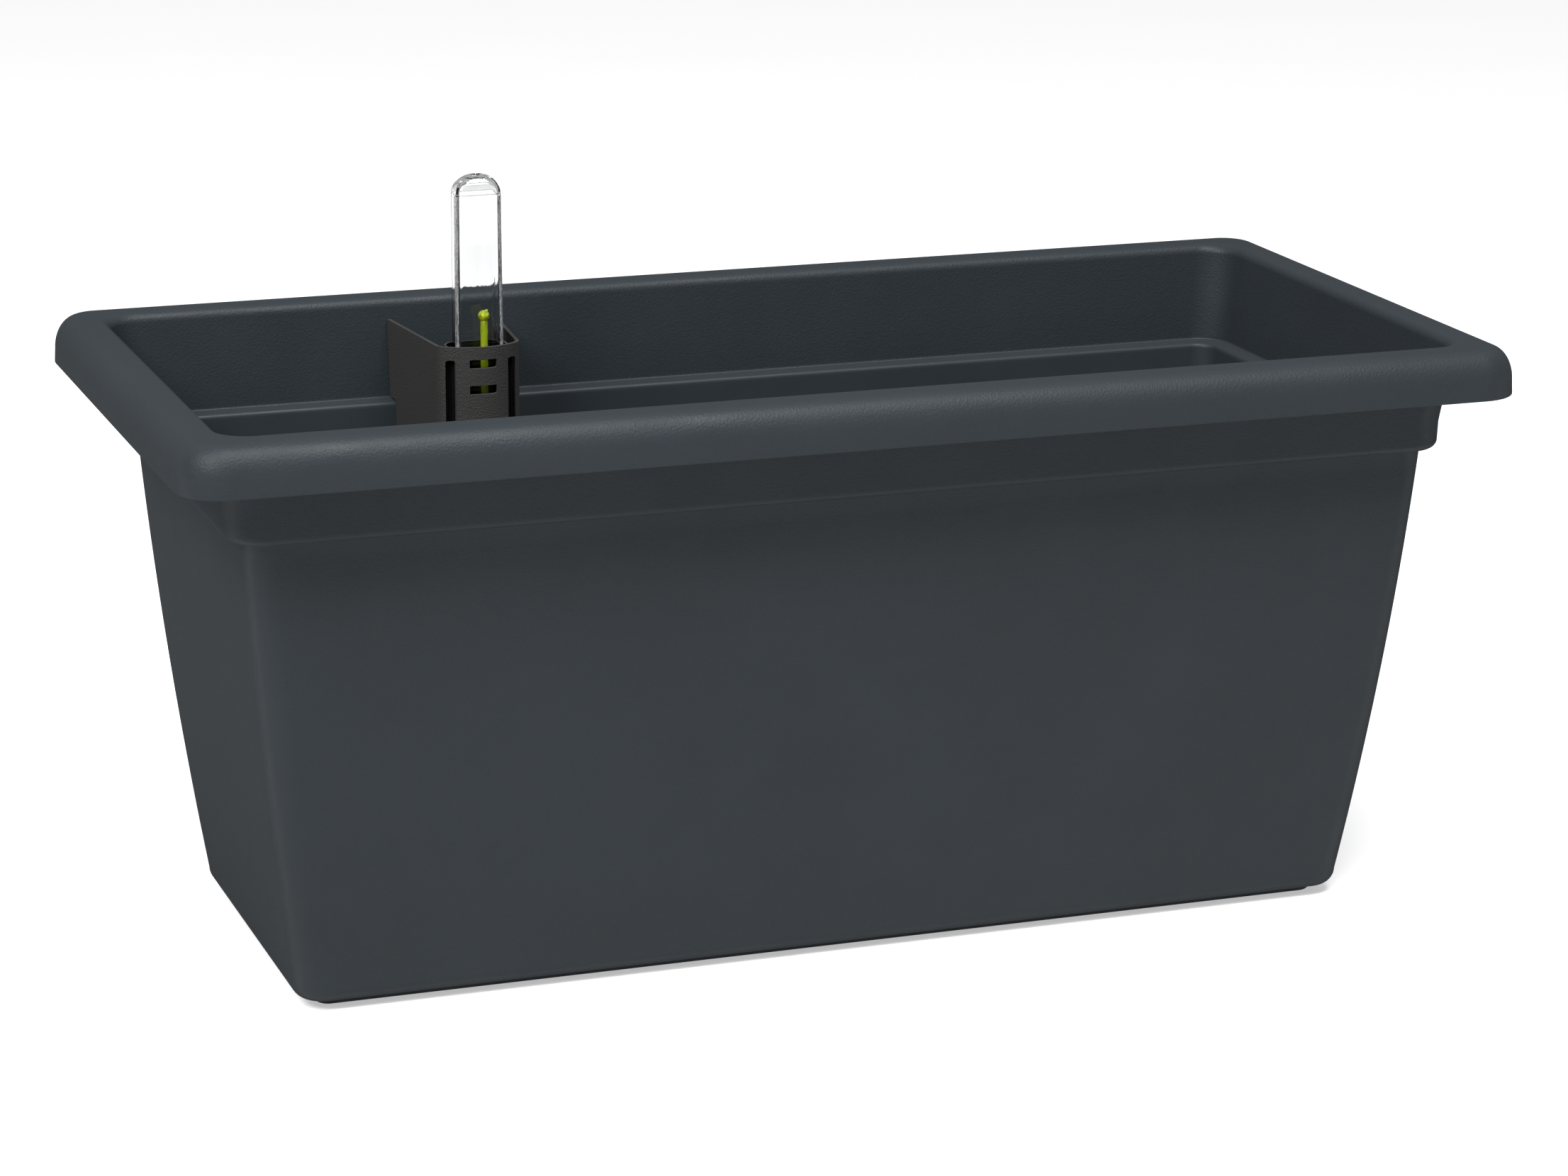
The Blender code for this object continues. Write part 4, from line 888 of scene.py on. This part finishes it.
# ------------------------------------------------------------------ overflow plug
seal_y0 = BOSS_Y1 + CLEAR
seal_y1 = seal_y0 + SEAL_T
sp = []
for i in range(24):
    a = 2 * math.pi * i / 24
    sp.append((0.0104 + 0.0022 * math.copysign(abs(math.cos(a)) ** 0.6, math.cos(a)),
               (seal_y0 + seal_y1) / 2 + 0.0010 * math.copysign(abs(math.sin(a)) ** 0.6, math.sin(a))))
seal = make("drain_seal_ring", lathe("drain_seal_ring", sp, 64, out=along_y(DRAIN_X, DRAIN_Z)), RUBBER)
smooth(seal.data, 60.0)
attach(seal, "drain_seal")
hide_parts("drain_seal")

head_y0 = seal_y1 + CLEAR
head_y1 = head_y0 + 0.0030
plug = make("drain_plug_head", lathe("drain_plug_head", [
    (0.0, head_y1), (0.0090, head_y1), (PLUG_HEAD_R - 0.0010, head_y1 - 0.0002), (PLUG_HEAD_R - 0.0003, head_y1 - 0.0005),
    (PLUG_HEAD_R, head_y1 - 0.0011), (PLUG_HEAD_R, head_y0 + 0.0004), (PLUG_HEAD_R - 0.0004, head_y0),
    (0.0060, head_y0), (0.0, head_y0)], 64, out=along_y(DRAIN_X, DRAIN_Z)), PLUG)
knurl = bmesh.new()
for j in range(24):
    a = 2 * math.pi * j / 24
    me = prism("tmp", stadium(PLUG_HEAD_R + 0.0003, 0.0, 0.0012, 0.0013, 0.0005, 4), head_y0 - 0.001, head_y1 + 0.001, "Z")
    me.transform(Matrix.Rotation(a, 4, "Z"))
    for v in me.vertices:
        v.co = Vector(along_y(DRAIN_X, DRAIN_Z)(v.co))
    knurl.from_mesh(me)
    bpy.data.meshes.remove(me)
cut(plug, [make("knurl", to_mesh("knurl", knurl))])
gx0, gx1 = 0.0112, 0.0022
grip = make("grip", prism("grip", [(DRAIN_X + x, DRAIN_Z + z) for x, z in
                                   [(a, b) for a, b, c in rounded_rect(gx0, gx1, 0.0018, 0.0, n=5)]],
                          head_y1 - 0.0010, head_y1 + 0.0080, "Y"))
cut(plug, [grip], "UNION")
tidy(plug)
bevel(plug, 0.0004, 2, 50.0)
even(plug)
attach(plug, "drain_plug")
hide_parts("drain_plug")

PITCH, TH = 0.0030, 0.0008
y_lo, y_hi = BOSS_Y0 - 0.0008, head_y0 + 0.0003
rows_n, steps_n = 58, 40
bm = bmesh.new()
grid = []
for i in range(rows_n + 1):
    y = y_lo + (y_hi - y_lo) * i / rows_n
    row = []
    fade = min(1.0, (y - y_lo) / 0.0020, max(0.0, (BOSS_Y1 + 0.0002 - y) / 0.0010))
    for j in range(steps_n):
        th = 2 * math.pi * j / steps_n
        ph = (y / PITCH - j / steps_n) % 1.0
        tri = 1 - abs(2 * ph - 1)
        r = PLUG_R - TH + TH * max(0.0, min(1.0, tri * 1.6 - 0.3)) * max(0.0, fade)
        row.append(bm.verts.new((DRAIN_X + r * math.cos(th), y, DRAIN_Z + r * math.sin(th))))
    grid.append(row)
for a, b in zip(grid[:-1], grid[1:]):
    for j in range(steps_n):
        k = (j + 1) % steps_n
        bm.faces.new((a[j], a[k], b[k], b[j]))
bm.faces.new(grid[0])
bm.faces.new(grid[-1])
thread = make("drain_plug_thread", to_mesh("drain_plug_thread", bm), PLUG)
smooth(thread.data, 40.0)
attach(thread, "drain_plug")

# ------------------------------------------------------------------ floor and light
bm = bmesh.new()
bmesh.ops.create_circle(bm, cap_ends=True, segments=96, radius=16.0)
floor = bpy.data.objects.new("studio_floor", to_mesh("studio_floor", bm))
scene.collection.objects.link(floor)
n = Nodes("studio_floor_paint_and_glow")
n.put(n.bsdf, "Base Color", n.blend(n.noise(3.0, 2.0), (0.49, 0.49, 0.49), (0.51, 0.51, 0.51)))
n.put(n.bsdf, "Roughness", n.span(n.noise(8.0, 2.0), 0.7, 0.8))
n.bsdf.inputs["Specular IOR Level"].default_value = 0.1
# painted light: the floor glows, less within about 3 m of the centre and more further out, to lift it to white and
# soften the shadows under the planter
n.bsdf.inputs["Emission Color"].default_value = (1.0, 1.0, 1.0, 1.0)
sep = n.add("ShaderNodeVectorMath", operation="LENGTH")
n.put(sep, 0, n.coord)
n.put(n.bsdf, "Emission Strength", n.span(n.math("MULTIPLY", sep.outputs["Value"], 0.0625), 0.45, 0.80, 0.20, 0.70))
floor.data.materials.append(n.mat)

world = bpy.data.worlds.new("studio")
scene.world = world
world.use_nodes = True
wt = world.node_tree
bg = wt.nodes["Background"]
co = wt.nodes.new("ShaderNodeTexCoord")
sep = wt.nodes.new("ShaderNodeSeparateXYZ")
wt.links.new(co.outputs["Generated"], sep.inputs[0])
mr = wt.nodes.new("ShaderNodeMapRange")
wt.links.new(sep.outputs["Z"], mr.inputs["Value"])
mr.inputs["From Min"].default_value = -0.05
mr.inputs["From Max"].default_value = 0.85
mr.inputs["To Min"].default_value = 0.25
mr.inputs["To Max"].default_value = 0.55
wt.links.new(mr.outputs["Result"], bg.inputs["Strength"])
bg.inputs["Color"].default_value = (1.0, 1.0, 1.0, 1.0)


def softbox(name, loc, target, size, watts, size_y=None):
    ld = bpy.data.lights.new(name, "AREA")
    ld.shape = "RECTANGLE" if size_y else "SQUARE"
    ld.size = size
    if size_y:
        ld.size_y = size_y
    ld.energy = watts
    lo = bpy.data.objects.new(name, ld)
    lo.location = loc
    lo.rotation_mode = "QUATERNION"
    lo.rotation_quaternion = (Vector(target) - Vector(loc)).to_track_quat("-Z", "Y")
    scene.collection.objects.link(lo)
    return lo


softbox("key", (-2.6, -1.8, 3.0), (0.0, 0.0, 0.2), 1.6, 260.0)
softbox("overhead", (0.2, -1.5, 3.5), (0.0, 0.0, 0.2), 1.6, 245.0)
